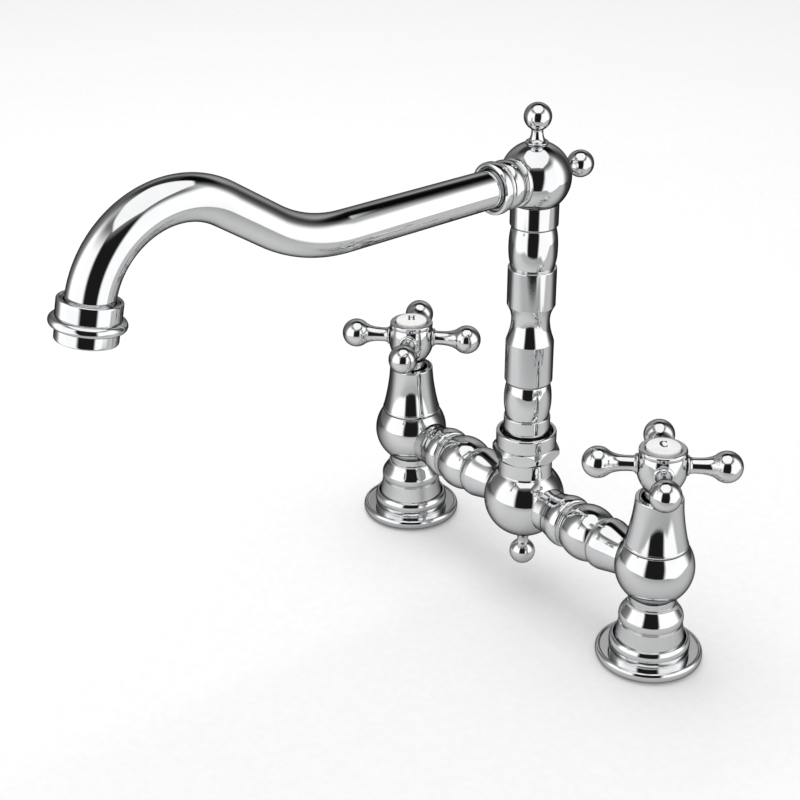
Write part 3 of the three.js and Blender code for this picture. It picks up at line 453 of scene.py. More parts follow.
def pillar_foot():
    return (
        Outline(9.6, GAP).line((17.4, GAP), (17.4, 8.8))
        .curve((16.2, 12.5), (15.3, 19.0))
        .line((15.25, 19.25), (14.6, 19.6), (14.6, 20.0))
        .curve((15.25, 20.05), (15.45, 20.9), (15.45, 22.2))
        .curve((15.45, 23.4), (15.15, 24.3), (14.75, 24.9))
        .line((12.75, 27.9))
        .curve((12.05, 29.0), (11.8, 29.7), (11.75, 30.4))
        .curve((11.7, 30.8), (FOOT_NECK, 30.5), (FOOT_NECK, 31.0), steps=8)
        .line((FOOT_NECK, NECK_TOP), (8.6, NECK_TOP), (8.6, NECK_TOP + 5.4), (5.6, NECK_TOP + 5.4))
        .line((5.6, 18), (9.6, 14))
    )


# %% [markdown]
# ## Valve body and bonnet
# The ball carries the cartridge and the bridge. The bonnet screws down over the cartridge, flares at its foot
# and closes to an open mouth that the tail of the handle goes into. A fine line is left where it meets the
# ball. Both are turned hollow, because one can look down into the mouth.

# %% Valve body and bonnet
VALVE_TOP = VALVE_Z + leg(VALVE_BALL, BONNET_SEAT)
BONNET_FOOT = VALVE_TOP + GAP
BONNET_TOP = BONNET_FOOT + 25
ARM_Z = BONNET_TOP + 16.9
HUB_TOP = ARM_Z + 8.6


def valve_body():
    low, high = (degrees(acos(radius / VALVE_BALL)) for radius in (FOOT_NECK, BONNET_SEAT))
    return (
        Outline(8.9, NECK_TOP + GAP).line((FOOT_NECK, NECK_TOP + GAP))
        .arc(VALVE_Z, VALVE_BALL, -low, high)
        .line((9.2, VALVE_TOP), (9.2, VALVE_TOP - 18.2), (5.6, VALVE_TOP - 18.2))
        .line((5.6, NECK_TOP + 5.7), (8.9, NECK_TOP + 5.7))
    )


def bonnet():
    mouth = BONNET_TOP - 4.4
    return (
        Outline(11.7, BONNET_FOOT).line((14.8, BONNET_FOOT))
        .curve((15.25, BONNET_FOOT + 0.3), (15.1, BONNET_FOOT + 1.3), (14.75, BONNET_FOOT + 1.6))
        .curve((12.1, BONNET_FOOT + 12.6), (11.5, BONNET_FOOT + 19.5), (11.3, BONNET_TOP - 0.9))
        .curve((11.25, BONNET_TOP), (11.0, BONNET_TOP), (10.6, BONNET_TOP))
        .line((8.9, BONNET_TOP))
        .curve((8.4, BONNET_TOP), (8.4, BONNET_TOP - 0.5))
        .line((8.4, mouth), (9.2, mouth - 1), (9.2, BONNET_FOOT + 7.5), (11.7, BONNET_FOOT + 4))
    )


for side, x in PILLARS.items():
    piece(f"{side}_deck_flange", turned(deck_flange(), place(x), 128, 0.25), chrome)
    piece(f"{side}_pillar_foot", turned(pillar_foot(), place(x), 112, 0.2), chrome)
    piece(f"{side}_valve_body", turned(valve_body(), place(x), 112, 0.2), chrome)
    piece(f"{side}_bonnet", turned(bonnet(), place(x), 112, 0.2), chrome)
print("bonnet mouth at", round(BONNET_TOP, 2), "arms at", round(ARM_Z, 2), "mm")

# %% [markdown]
# ## Cross handle
# The hub is a bowl on a tail, with a bevelled ring round the porcelain button. Four pear-shaped arms screw
# into flats on the bowl. Each arm is one turning: a stud, a seat, a waist and a ball that flows out of it, so
# it is drawn as one outline with a Bezier flank and ends in an arc.

# %% Hub and arms
def handle_hub():
    return (
        Outline(4.3, BONNET_TOP - 2.6).line((7.1, BONNET_TOP - 2.6), (7.1, ARM_Z - 12.8))
        .curve((9.3, ARM_Z - 10.4), (11.6, ARM_Z - 6.6), (11.7, ARM_Z - 2.4))
        .curve((11.75, ARM_Z + 1.6), (11.3, ARM_Z + 4.6), (10.75, ARM_Z + 5.9))
        .line((10.75, ARM_Z + 6.25), (11.15, ARM_Z + 6.6), (11.15, HUB_TOP - 1.1))
        .curve((11.1, HUB_TOP - 0.3), (10.6, HUB_TOP), (10.1, HUB_TOP))
        .line((8.9, HUB_TOP), (8.3, HUB_TOP - 0.5), (8.3, HUB_TOP - 1.8), (4.2, HUB_TOP - 1.8))
        .line((4.2, ARM_Z + 0.5), (1.9, ARM_Z + 0.5), (1.9, ARM_Z - 1.9), (4.3, ARM_Z - 1.9))
    )


def handle_arm():
    ball, reach, root, flow = 7.43, 29.15, 11.25, radians(128)
    shoulder = Vector((ball * sin(flow), reach + ball * cos(flow)))
    return (
        Outline(0, root - 3).line((2.2, root - 3), (2.2, root), (4.7, root))
        .curve((4.9, root + 0.2), (4.85, root + 0.75), (4.5, root + 0.85))
        .curve((3.8, root + 1.1), (3.65, root + 2.0), (3.65, root + 3.4))
        .curve((3.6, reach - 11), (shoulder.x - 1.9, shoulder.y - 2.4), tuple(shoulder), steps=30)
        .arc(reach, ball, -38, 90)
    )


# %% [markdown]
# ## Porcelain button
# The button is a shallow dome in the ring of the hub, with one plain letter fired into its middle: H for hot
# and C for cold, as on any pair of taps. The letters are drawn here as strokes with serifs and laid on the
# dome, a hair above the glaze.

# %% Button and letters
DOME_TOP = HUB_TOP + 2
DOME_CURVE = 31
DOME_EDGE = 7.2
INK_DEPTH, INK_LEAN = 0.06, 0.07


def dome_height(radius):
    """Height of the glaze at a distance from the middle of the button."""
    return DOME_TOP - DOME_CURVE + leg(DOME_CURVE, radius)


def index_button():
    rim = dome_height(DOME_EDGE)
    return (
        Outline(0, HUB_TOP - 1.5).line((8, HUB_TOP - 1.5), (8, HUB_TOP + 0.3))
        .curve((8, rim - 0.4), (7.8, rim - 0.15), (DOME_EDGE, rim), steps=8)
        .arc(DOME_TOP - DOME_CURVE, DOME_CURVE, degrees(acos(DOME_EDGE / DOME_CURVE)), 90)
    )


def bar(left, low, right, high, steps=6):
    """An upright stroke or serif of a letter, as a ribbon of two rails."""
    heights = [low + (high - low) * step / steps for step in range(steps + 1)]
    return [((left, y), (right, y)) for y in heights]


def bowl(steps=40):
    """The bowl of a C: thick at the left and thin at its two ends."""
    angles = [radians(40 + 280 * step / steps) for step in range(steps + 1)]
    return [((2.0 * cos(a), 3.0 * sin(a)), (0.3 + 1.05 * cos(a), 2.4 * sin(a))) for a in angles]


LETTERS = {
    "hot": [bar(-1.6, -2.3, -0.75, 2.3), bar(0.75, -2.3, 1.6, 2.3), bar(-0.75, -0.25, 0.75, 0.25),
            bar(-2.0, -2.7, -0.35, -2.3), bar(0.35, -2.7, 2.0, -2.3),
            bar(-2.0, 2.3, -0.35, 2.7), bar(0.35, 2.3, 2.0, 2.7)],
    "cold": [bowl(), bar(1.2, 1.3, 1.65, 2.9), bar(1.15, -2.0, 1.5, -1.3)],
}


def letter(side, matrix, strips=3):
    """The strokes of a letter, laid on the dome of its button."""
    spin = matrix.to_3x3()
    verts, faces, tips = [], [], []
    for rails in LETTERS[side]:
        for k, (left, right) in enumerate(rails):
            for strip in range(strips + 1):
                spot = Vector(left).lerp(Vector(right), strip / strips)
                verts.append(matrix @ Vector((*spot, dome_height(spot.length) + INK_DEPTH)) / METRE)
                tips.append(spin @ Vector((*spot * INK_LEAN, 1)).normalized())
            if k:
                high = len(verts) - strips - 1
                low = high - strips - 1
                faces += [[low + s, low + s + 1, high + s + 1, high + s] for s in range(strips)]
    first = [verts[i] for i in faces[0]]
    if (first[1] - first[0]).cross(first[3] - first[0]).z < 0:
        faces = [face[::-1] for face in faces]
    return verts, faces, tips


# %% [markdown]
# The letters face the camera when the handles are at rest, though the arms don't. A letter is thin ink on the
# button, so it rides on the handle as a piece of its own and stands for no solid of the part.

# %% Handles
VIEW_AZIMUTH = 51.08
for side, x in PILLARS.items():
    piece(f"{side}_handle_hub", turned(handle_hub(), place(x), 112, 0.2), chrome)
    for k in range(4):
        pointing = place(x, ARM_Z, (HANDLE_ANGLE[side] + 90 * k, "Z"), TO_RIGHT)
        piece(f"{side}_handle_arm_{k + 1}", turned(handle_arm(), pointing, 80, 0.12), chrome)
    piece(f"{side}_index_button", turned(index_button(), place(x), 80, 0.15), porcelain)
    strokes = letter(side, place(x, 0, (VIEW_AZIMUTH, "Z")))
    inlay = linked(f"{side}_letter", smooth_mesh(f"{side}_letter", strokes, ink))
    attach(inlay, f"{side}_handle")
print("handles done; dome stands", round(dome_height(0) - HUB_TOP, 2), "mm proud")

# %% [markdown]
# ## Bridge
# Both arms of the bridge are the same turning: a plain collar, a flare, a skirt, a round bead, a shoulder and
# a cone. On each side of the bead a thin ring stands between two grooves. The grooves are narrow and deep
# enough to stay dark, and they make the bridge read as turned work and not as a pipe.

# %% Bridge arms
def bridge_arm(length):
    return (
        Outline(5.6, -5).line((7.8, -5), (7.8, 0), (11.0, 0), (11.0, 4.0))
        .curve((11.0, 6.0), (11.4, 6.6), (11.6, 7.6))
        .curve((12.0, 9.6), (12.5, 10.6), (12.9, 12.2))
        .curve((13.2, 13.4), (13.3, 15.6), (12.8, 16.9))
        .curve((12.6, 17.5), (12.2, 17.7), (11.9, 17.8), steps=8)
        .line((11.3, 18.0), (11.3, 18.35))
        .curve((12.1, 18.3), (12.1, 19.2), (11.3, 19.15), steps=8)
        .line((11.2, 19.6))
        .arc(28.55, 16.7, -32, 32, -2.7)
        .line((11.2, 37.5), (11.3, 37.85))
        .curve((12.0, 37.8), (12.0, 38.4), (11.3, 38.35), steps=8)
        .line((11.3, 38.7))
        .curve((12.6, 38.7), (13.0, 39.8), (13.0, 41.4))
        .line((13.0, 42.8))
        .curve((12.9, 43.9), (12.3, 46.2), (11.9, 48.0))
        .curve((11.3, 50.6), (10.8, 53.2), (10.55, 55.0))
        .line((10.5, length), (7.8, length), (7.8, length + 5), (5.6, length + 5))
    )


BRIDGE_FIT = 0.6
pillar_flat = PILLARS["cold"] - leg(VALVE_BALL, BRIDGE_END) - BRIDGE_FIT
centre_flat = leg(CENTRE_BALL, BRIDGE_END) + BRIDGE_FIT
arm_length = pillar_flat - centre_flat
for side, start in (("hot", -pillar_flat), ("cold", centre_flat)):
    lying = place(start, BRIDGE_Z, TO_RIGHT)
    piece(f"{side}_bridge_arm", turned(bridge_arm(arm_length), lying, 112, 0.2), chrome)
print("each arm is", round(arm_length, 2), "mm between its flats")

# %% [markdown]
# ## Finials
# Three small finials close the tapped holes of the balls: one under the bridge, one on top and one behind the
# top ball. Each is a flared foot, a thin neck and a ball. The centre body is drawn with its bores, which the
# water takes from both arms up into the column.

# %% Centre body and finials
FINIAL_BALL, FINIAL_REACH = 6.5, 11.8


def finial(ball):
    foot = leg(ball, 5.4) + GAP
    centre = ball + FINIAL_REACH
    flow = radians(153)
    shoulder = (FINIAL_BALL * sin(flow), centre + FINIAL_BALL * cos(flow))
    return (
        Outline(0, foot - 4).line((1.8, foot - 4), (1.8, foot), (5.2, foot))
        .curve((5.6, foot + 0.2), (5.4, foot + 0.7), (5.0, foot + 0.8))
        .curve((3.3, foot + 1.5), (2.9, foot + 3.4), (2.75, centre - 7.4))
        .curve((2.75, centre - 6.6), (2.8, centre - 6.2), shoulder)
        .arc(centre, FINIAL_BALL, -63, 90)
    )


def centre_body():
    neck = BRIDGE_Z + leg(CENTRE_BALL, CENTRE_NECK)
    return (
        Outline(0, BRIDGE_Z - CENTRE_BALL)
        .arc(BRIDGE_Z, CENTRE_BALL, -90, degrees(acos(CENTRE_NECK / CENTRE_BALL)) - 1)
        .curve((13.5, neck + 0.2), (CENTRE_NECK, neck + 0.9), steps=5)
        .line((CENTRE_NECK, 70.5), (12, 70.5), (12, 74.3), (8.9, 74.3), (8.9, 56.1))
        .line((6.4, 56.1), (6.4, BRIDGE_Z), (0, BRIDGE_Z))
    )


piece("centre_body", turned(centre_body(), place(), 128, 0.25), chrome)
piece("bottom_finial", turned(finial(CENTRE_BALL), place(0, BRIDGE_Z, TO_FLOOR), 72, 0.15), chrome)
piece("top_finial", turned(finial(TOP_BALL), place(0, SPOUT_Z), 72, 0.15), chrome)
piece("back_finial", turned(finial(TOP_BALL), place(0, SPOUT_Z, TO_BACK), 72, 0.15), chrome)
print("finial ball centre", round(TOP_BALL + FINIAL_REACH, 2), "mm from the ball's centre")

# %% [markdown]
# ## Swivel nut
# The nut has six flats with the usual rounded chamfers, and a collar above them. The hexagon can't be turned,
# so it is cut: at each height the radius is the smaller of the turned blank's and the flat's, which leaves
# the true curved chamfer at every corner.

# %% Swivel nut
NUT_FOOT, NUT_SHOULDER, NUT_TOP = 70.8, 77.2, 85.0
NUT_ACROSS, NUT_CORNER, NUT_BORE, NUT_CHAMFER = 30.0, 16.75, 12.3, 1.9
NUT_TURN = radians(38)
CREASE = radians(12)


def hexagon(matrix, sides=240, steps=28):
    """The six-sided part of the nut: flats, chamfered corners, end faces and bore."""
    half = NUT_ACROSS / 2
    slope = (NUT_CORNER - half) / NUT_CHAMFER
    verts, faces = [], []
    for step in range(steps + 1):
        z = NUT_FOOT + (NUT_SHOULDER - NUT_FOOT) * step / steps
        blank = min(NUT_CORNER, half - 0.1 + min(z - NUT_FOOT, NUT_SHOULDER - z) * slope)
        for a in circle(sides):
            r = min(blank, half / cos((a - NUT_TURN) % (pi / 3) - pi / 6))
            verts.append(Vector((r * cos(a), r * sin(a), z)))
    for z in (NUT_SHOULDER, NUT_FOOT):
        verts += [Vector((NUT_BORE * cos(a), NUT_BORE * sin(a), z)) for a in circle(sides)]
    rings = steps + 3
    for ring in range(rings):
        faces += band(ring * sides, (ring + 1) % rings * sides, sides)
    return [matrix @ v / METRE for v in verts], faces


def nut_collar():
    return (
        Outline(NUT_BORE, NUT_SHOULDER - 0.2).line((14.5, NUT_SHOULDER - 0.2), (14.5, NUT_SHOULDER + 0.15))
        .line((14.9, NUT_SHOULDER + 0.4), (14.95, NUT_TOP - 1.1))
        .curve((14.95, NUT_TOP - 0.3), (14.6, NUT_TOP), (14.1, NUT_TOP))
        .line((13.7, NUT_TOP))
        .curve((13.2, NUT_TOP - 0.1), (13.2, NUT_TOP - 0.6))
        .line((13.2, 77.7), (8.9, 77.7), (8.9, 76.7), (NUT_BORE, 76.7))
    )


verts, faces = hexagon(place())
six_flats = bpy.data.meshes.new("six_flats")
six_flats.from_pydata(verts, [], faces)
shape = bmesh.new()
shape.from_mesh(six_flats)
bmesh.ops.recalc_face_normals(shape, faces=shape.faces)
for edge in shape.edges:
    edge.smooth = edge.calc_face_angle(0) < CREASE
for face in shape.faces:
    face.smooth = True
creases = sum(not edge.smooth for edge in shape.edges)
shape.to_mesh(six_flats)
shape.free()
print("the hexagon has", len(faces), "faces and", creases, "creased edges")

# %% [markdown]
# The hexagon keeps sharp creases where its flats meet the chamfers, so it carries no normals of its own. It
# rides beside the turned collar, which stands for the whole nut. The bush is a plain nylon ring in its mouth.

# %% Nut and bush in place
piece("swivel_nut", turned(nut_collar(), place(), 112, 0.2), chrome)
six_flats.materials.append(chrome)
flats = linked("six_flats", six_flats)
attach(flats, "body")
bush = Outline(11.75, 78.0).line((12.9, 78.0), (12.9, 82.0), (11.75, 82.0))
piece("swivel_bush", turned(bush, place(), 96, 0.12), nylon)
print("nut and bush done")

# %% [markdown]
# ## Column
# The column is the tallest turning: a plain end, a barrel, a long shaft, an uneven cove, a second shaft,
# a second barrel and a neck. Below the nut it goes on as a spigot with the grooves of its two seals and of
# the ring that keeps it from lifting out.

# %% Column
END_FOOT = 78.0
SPIGOT_FOOT = END_FOOT - 21
COLUMN_TOP = SPOUT_Z - leg(TOP_BALL, COLUMN_HEAD) - GAP


def column():
    end, barrel = END_FOOT + 15.4, END_FOOT + 33.3
    shaft = barrel + 21.9
    waist = shaft + 11.1
    cove = shaft + 19.2
    upper = cove + 19.2
    second = upper + 20.1
    line = Outline(6.4, SPIGOT_FOOT).line((8.6, SPIGOT_FOOT))
    for low in (SPIGOT_FOOT + 2.8, SPIGOT_FOOT + 8.8, 74.3):
        line.line((8.6, low), (7.3, low), (7.3, low + 2.4), (8.6, low + 2.4))
    return (
        line.line((8.6, END_FOOT), (11.45, END_FOOT), (11.45, end - 0.9))
        .curve((11.45, end - 0.2), (11.2, end), (10.95, end), steps=6)
        .line((10.6, end - 0.45), (10.45, end - 0.45))
        .curve((11.35, end + 3.2), (11.7, end + 5.8), (11.7, (end + barrel) / 2), steps=14)
        .curve((11.7, barrel - 5.4), (11.25, barrel - 2.6), (10.5, barrel), steps=14)
        .curve((10.5, barrel + 0.5), (11.2, barrel + 0.9), (11.7, barrel + 1.5), steps=8)
        .line((11.7, shaft))
        .curve((10.9, shaft + 2.6), (9.4, shaft + 6.2), (9.3, waist), steps=16)
        .curve((9.3, waist + 3.4), (10.3, cove - 2.4), (11.7, cove), steps=16)
        .line((11.7, upper - 0.7))
        .curve((11.7, upper - 0.1), (11.4, upper), (11.0, upper + 0.05), steps=6)
        .line((10.5, upper + 0.15), (10.5, upper + 0.5))
        .curve((11.35, upper + 3.4), (11.7, upper + 5.8), (11.7, (upper + second) / 2), steps=14)
        .curve((11.7, second - 5.4), (11.25, second - 2.6), (10.5, second), steps=14)
        .line((10.5, second + 0.4))
        .curve((10.6, second + 0.8), (11.3, second + 0.9), (COLUMN_HEAD, second + 1.5), steps=8)
        .line((COLUMN_HEAD, COLUMN_TOP), (8.8, COLUMN_TOP), (8.8, COLUMN_TOP + 2.8), (6.4, COLUMN_TOP + 2.8))
    )


piece("spout_column", turned(column(), place(), 112, 0.2), chrome)
print("column from", SPIGOT_FOOT, "to", round(COLUMN_TOP + 2.8, 2), "mm")

# %% [markdown]
# ## Top ball and socket
# The ball turns the water from the column into the spout. The socket in front of it is a stack of turned
# rings, seen end on: a bright ring at the ball, a dark groove, a rounded band, another fine groove and the
# bevelled lip that the tube comes out of.

# %% Top ball and socket
SOCKET_FACE = leg(TOP_BALL, 11.6) + GAP


def top_ball():
    opening = -leg(TOP_BALL, COLUMN_HEAD)
    return (
        Outline(9.1, opening).line((COLUMN_HEAD, opening))
        .arc(0, TOP_BALL, -degrees(acos(COLUMN_HEAD / TOP_BALL)), 90)
        .line((0, 6.4), (6.4, 6.4), (6.4, opening + 2.8), (9.1, opening + 2.8))
    )


def spout_socket():
    face = SOCKET_FACE - 0.6
    return (
        Outline(6.8, SOCKET_FACE - 5).line((8.4, SOCKET_FACE - 5), (8.4, face), (11.2, face))
        .curve((11.75, face + 0.1), (11.85, face + 2.3), (11.2, face + 2.6))
        .line((10.5, face + 2.8), (10.5, face + 3.4))
        .curve((11.6, face + 4.6), (11.9, face + 7.8), (11.1, face + 9.8))
        .line((10.75, face + 10.1), (10.75, face + 10.5), (11.4, face + 10.7), (11.4, face + 11.5))
        .line((10.95, face + 11.7), (10.95, face + 12.1), (12.0, face + 12.7))
        .curve((12.35, face + 13.0), (12.35, 27.9), (12.0, 28.1))
        .line((10.9, 28.4), (10.4, 28.2))
        .line((9.2, 27.4), (9.2, SOCKET_FACE + 5.5), (6.8, SOCKET_FACE + 5.5))
    )


piece("top_ball", turned(top_ball(), place(0, SPOUT_Z), 128, 0.2), chrome)
piece("spout_socket", turned(spout_socket(), place(0, SPOUT_Z, TO_FRONT), 112, 0.15), chrome)
print("socket face", round(SOCKET_FACE, 2), "mm in front of the column")

# %% [markdown]
# ## Swan neck
# The neck is bent from one tube: a straight run, a soft rise, a climb, the crown and the drop. It widens a
# little towards the nozzle. Blender's curve bevel could sweep it, but the taper and the bore are simpler to
# hold by hand: rings of two radii are placed along the centreline, and the normals point straight out.

# %% Swan neck
RUN_END = 111
NECK_BENDS = [(33.8, 68), (0, 26.6), (-112.6, 41.2), (0, 4)]  # degrees and radius, or 0 and length
STATION_STEP = 1.6


def neck_line():
    """Points of the centreline, forward from the column and up from the run, with their directions."""
    stations = []
    spot, heading = Vector((SOCKET_FACE + 5.8, 0)), 0.0
    for bend, size in [(0, RUN_END - spot.x), *NECK_BENDS]:
        bend = radians(bend)
        length = size * abs(bend) if bend else size
        steps = max(2, round(length / STATION_STEP))
        for _ in range(steps):
            stations.append((spot.copy(), heading))
            middle = heading + bend / steps / 2
            chord = 2 * size * sin(abs(bend) / steps / 2) if bend else length / steps
            spot = spot + Vector((cos(middle), sin(middle))) * chord
            heading += bend / steps
    stations.append((spot.copy(), heading))
    return stations


def swept(stations, start, end, wall, sides=96):
    """A tapering tube with an even wall along the stations."""
    verts, faces, tips = [], [], []
    last = len(stations) - 1
    for i, (spot, heading) in enumerate(stations):
        radius = start + (end - start) * i / last
        centre = Vector((0, COLUMN_Y - spot.x, SPOUT_Z + spot.y))
        upright = heading + pi / 2
        for size, sense in ((radius, 1), (radius - wall, -1)):
            for a in circle(sides):
                out = Vector((sin(a), -cos(upright) * cos(a), sin(upright) * cos(a)))
                verts.append((centre + out * size) / METRE)
                tips.append(out * sense)
    step = 2 * sides
    for here in range(0, last * step, step):
        faces += band(here + step, here, sides) + band(here + sides, here + step + sides, sides)
    faces += band(0, sides, sides) + band(last * step + sides, last * step, sides)
    return verts, faces, tips


stations = neck_line()
piece("spout_tube", swept(stations, start=8.9, end=10.1, wall=1.5), chrome)
end_spot, end_heading = stations[-1]
print("the neck has", len(stations), "stations and ends at", [round(v, 2) for v in end_spot],
      "heading", round(degrees(end_heading), 1))

# %% [markdown]
# ## Nozzle
# The nozzle slips over the end of the tube. From the top it has a flat lip with a chamfer, a dark gap round
# the tube, a plain barrel, the raised ring that one's fingers find, and a lower barrel with the aerator set
# just inside its mouth.

# %% Nozzle
NOZZLE_LENGTH = 17.1
flow = Vector((cos(end_heading), sin(end_heading)))
lip = end_spot - flow * 6
tilt = 90 + degrees(end_heading)
nozzle_place = (Matrix.Translation((0, COLUMN_Y - lip.x, SPOUT_Z + lip.y))
                @ Matrix.Rotation(radians(-tilt), 4, "X"))


def nozzle():
    return (
        Outline(10.4, -0.9).line((10.4, -6.3), (8.6, -6.3), (8.6, -9.9), (10.9, -9.9), (10.9, -NOZZLE_LENGTH))
        .line((12.0, -NOZZLE_LENGTH))
        .curve((12.75, -NOZZLE_LENGTH), (12.8, -NOZZLE_LENGTH + 0.6), (12.8, -NOZZLE_LENGTH + 1.2))
        .line((12.8, -11.9))
        .curve((13.0, -11.75), (13.3, -11.75), steps=4)
        .arc(-9.5, 2.25, -88, 88, 13.35)
        .line((13.2, -7.2), (13.2, -0.9))
        .curve((13.2, -0.2), (12.8, 0), (12.5, 0))
        .line((11.9, 0), (11.5, -0.5), (11.5, -0.9), (11.1, -0.9), (10.9, -0.55), (10.6, -0.55))
    )


piece("nozzle", turned(nozzle(), nozzle_place, 128, 0.15), chrome)
print("nozzle leans", round(tilt, 1), "degrees from plumb")

# %% [markdown]
# The aerator is a moulded insert with a ring of six holes round a seventh, so it can't be turned in one go.
# It is a plain disc, and the holes are cut by a Boolean, the way a drill would.

# %% Aerator
HOLE, HOLE_CIRCLE = 1.5, 5.6


def round_bar(name, radius, low, high, matrix, sides):
    """A plain round bar, to cut or to be cut."""
    outline = Outline(0, low).line((radius, low), (radius, high), (0, high))
    verts, faces, _ = turned(outline, matrix, sides, 0.02)
    mesh = bpy.data.meshes.new(name)
    mesh.from_pydata(verts, [], faces)
    return linked(name, mesh)


low, high = -NOZZLE_LENGTH + 0.6, -NOZZLE_LENGTH + 5.6
insert = round_bar("fine_aerator", 10.6, low, high, nozzle_place, 96)
for x, y in [(0, 0)] + [(HOLE_CIRCLE * cos(a), HOLE_CIRCLE * sin(a)) for a in circle(6)]:
    drill = round_bar("drill", HOLE, low - 1, high + 1, nozzle_place @ Matrix.Translation((x, y, 0)), 32)
    cutter = insert.modifiers.new("drill", "BOOLEAN")
    cutter.operation, cutter.solver, cutter.object = "DIFFERENCE", "EXACT", drill
    with bpy.context.temp_override(object=insert, active_object=insert):
        bpy.ops.object.modifier_apply(modifier="drill")
    bpy.data.objects.remove(drill)
insert.data.materials.clear()
insert.data.materials.append(nylon)
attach(insert, "spout")
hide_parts("aerator")
print("aerator faces:", len(insert.data.polygons))

# %% [markdown]
# ## Inner pieces
# Cartridges, discs, spindles, clips, screws and seals keep the solids of the part. They hardly show, but when
# the faucet is opened or sectioned they should look like what they are, so each takes its own finish.

# %% Finishes of the inner pieces
FINISH_OF_SLOT = {
    "chrome": chrome, "brass": brass, "porcelain": porcelain,
    "disc_ceramic": disc_ceramic, "rubber": rubber, "nylon": nylon,
}
slots = {entry["node"]: entry["material_slot"] for entry in frame["record"]["subparts"]}
for name, node in frame["nodes"].items():
    node.data.materials.clear()
    node.data.materials.append(FINISH_OF_SLOT[slots[name]])
print("finished", len(frame["nodes"]), "nodes of the part")

# %% [markdown]
# ## Studio
# Chrome shows its surroundings and nothing else, so the studio is most of the picture. The faucet stands in a
# tent with tall soft walls at both sides, a soft box overhead, a dark opening at the front, where the camera
# looks in, and a dim back with a grey card. The tent is a sphere of one metre that only reflections see. The
# same pattern could be written in the world, but there it would be endlessly far away, and the high pieces
# would see the opening in the same direction as the low ones. In a small tent each sees it from its own
# place.

# %% Directions of the tent
FRONT = Vector((0.77804, -0.62822, 0))
SIDEWAYS = Vector((0.62822, 0.77804, 0))
UPWARDS = Vector((0, 0, 1))
HEART = Vector((0, COLUMN_Y / METRE, 0.1))


def shell(name, radius):
    """A sphere round the faucet, seen from inside."""
    ball = bmesh.new()
    bmesh.ops.create_icosphere(ball, subdivisions=4, radius=radius)
    bmesh.ops.translate(ball, vec=HEART, verts=ball.verts)
    bmesh.ops.reverse_faces(ball, faces=ball.faces)
    mesh = bpy.data.meshes.new(name)
    ball.to_mesh(mesh)
    ball.free()
    return linked(name, mesh)


def only_mirrored(thing):
    """Shows a thing to reflections and to nothing else."""
    thing.visible_camera = thing.visible_diffuse = thing.visible_shadow = False
    thing.visible_transmission = thing.visible_volume_scatter = False
    thing.data.materials[0].cycles.emission_sampling = "NONE"
    thing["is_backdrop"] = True


def along(recipe, where, direction):
    """How far a place lies along a direction."""
    dot = recipe.node("ShaderNodeVectorMath", {"operation": "DOT_PRODUCT"}, {0: where, 1: direction})
    return dot["Value"]


def studio_axes(recipe):
    """How far a place lies ahead of the faucet, across to its right and above, in metres."""
    spot = recipe.node("ShaderNodeNewGeometry")["Position"]
    spot = recipe.node("ShaderNodeVectorMath", {"operation": "SUBTRACT"}, {0: spot, 1: HEART})
    return [along(recipe, spot, direction) for direction in (FRONT, SIDEWAYS, UPWARDS)]


def slope(rise, run):
    """The angle of a slope, in degrees."""
    return rise.maths("ARCTAN2", rise, run) * degrees(1)


# %% [markdown]
# Azimuths are counted from the camera's side, positive to its right, and elevations from the level of the
# tent's middle, both in degrees. The first two numbers of each between are where a soft edge begins and where
# it ends, and the walls' edges lean a little. The walls stand from about 25 to 95 degrees and reach half-way
# up. Behind them it gets dark, above all near the top, with a card at the back that is brighter at its right.
# The ceiling is a level pane: a place on it is found by dividing ahead and across by height, which gives the
# soft box straight edges in every ball, with its corners cut off.

# %% Tent
WALL_GLOW, BOX_GLOW, LEAN = 1.15, 1.1, 0.15
tent = shell("tent", 1.0)
tent_cloth = bpy.data.materials.new("tent_cloth")
recipe = Recipe(tent_cloth)
ahead, across, height = studio_axes(recipe)
azimuth = slope(across, ahead)
rise = slope(height, ahead.maths("SQRT", ahead * ahead + across * across))
swing = azimuth.size()
on_right = azimuth.between(-1, 1)

right_edges = (azimuth - rise * LEAN).between(17, 27) * azimuth.between(80, 108, 1, 0)
right_wall = right_edges * (rise - azimuth * LEAN).between(26, 42, 1, 0)
left_wall = azimuth.between(-36, -26, 1, 0) * azimuth.between(-102, -80) * rise.between(34, 52, 1, 0)
backs = swing.between(60, 90, 0.012, 0.3) - swing.between(92, 124) * (on_right * 0.1 + 0.14)
header = rise.between(37, 47, 0, 0.16) * swing.between(90, 110, 1, 0)
card = swing.between(130, 160) * rise.between(46, 56, 1, 0) * rise.between(-11, 1) * (on_right * 0.22 + 0.2)
dark_top = swing.between(112, 136) * rise.between(38, 50) * (on_right * 0.15 + 0.8)
sides = ((right_wall + left_wall) * WALL_GLOW + backs + header + card) * (1 - dark_top)

pane_across, pane_ahead = (across / height).size(), ahead / height
long_edges = pane_across.between(0.52, 0.62, 1, 0)
end_edges = pane_ahead.between(0.82, 0.92, 1, 0) * pane_ahead.between(-0.4, -0.3)
front_corners = (pane_across + pane_ahead * 0.42).between(0.69, 0.79, 1, 0)
back_corners = (pane_across - pane_ahead * 0.85).between(0.57, 0.67, 1, 0)
soft_box = long_edges * front_corners * back_corners * end_edges * rise.between(5, 8)

glow = sides.maths("MAXIMUM", sides, soft_box * BOX_GLOW)
light = recipe.node("ShaderNodeEmission", {}, {"Color": glow, "Strength": 1.0})
recipe.node("ShaderNodeOutputMaterial", {}, {"Surface": light})
tent.data.materials.append(tent_cloth)
only_mirrored(tent)
print("tent nodes:", len(recipe.tree.nodes))
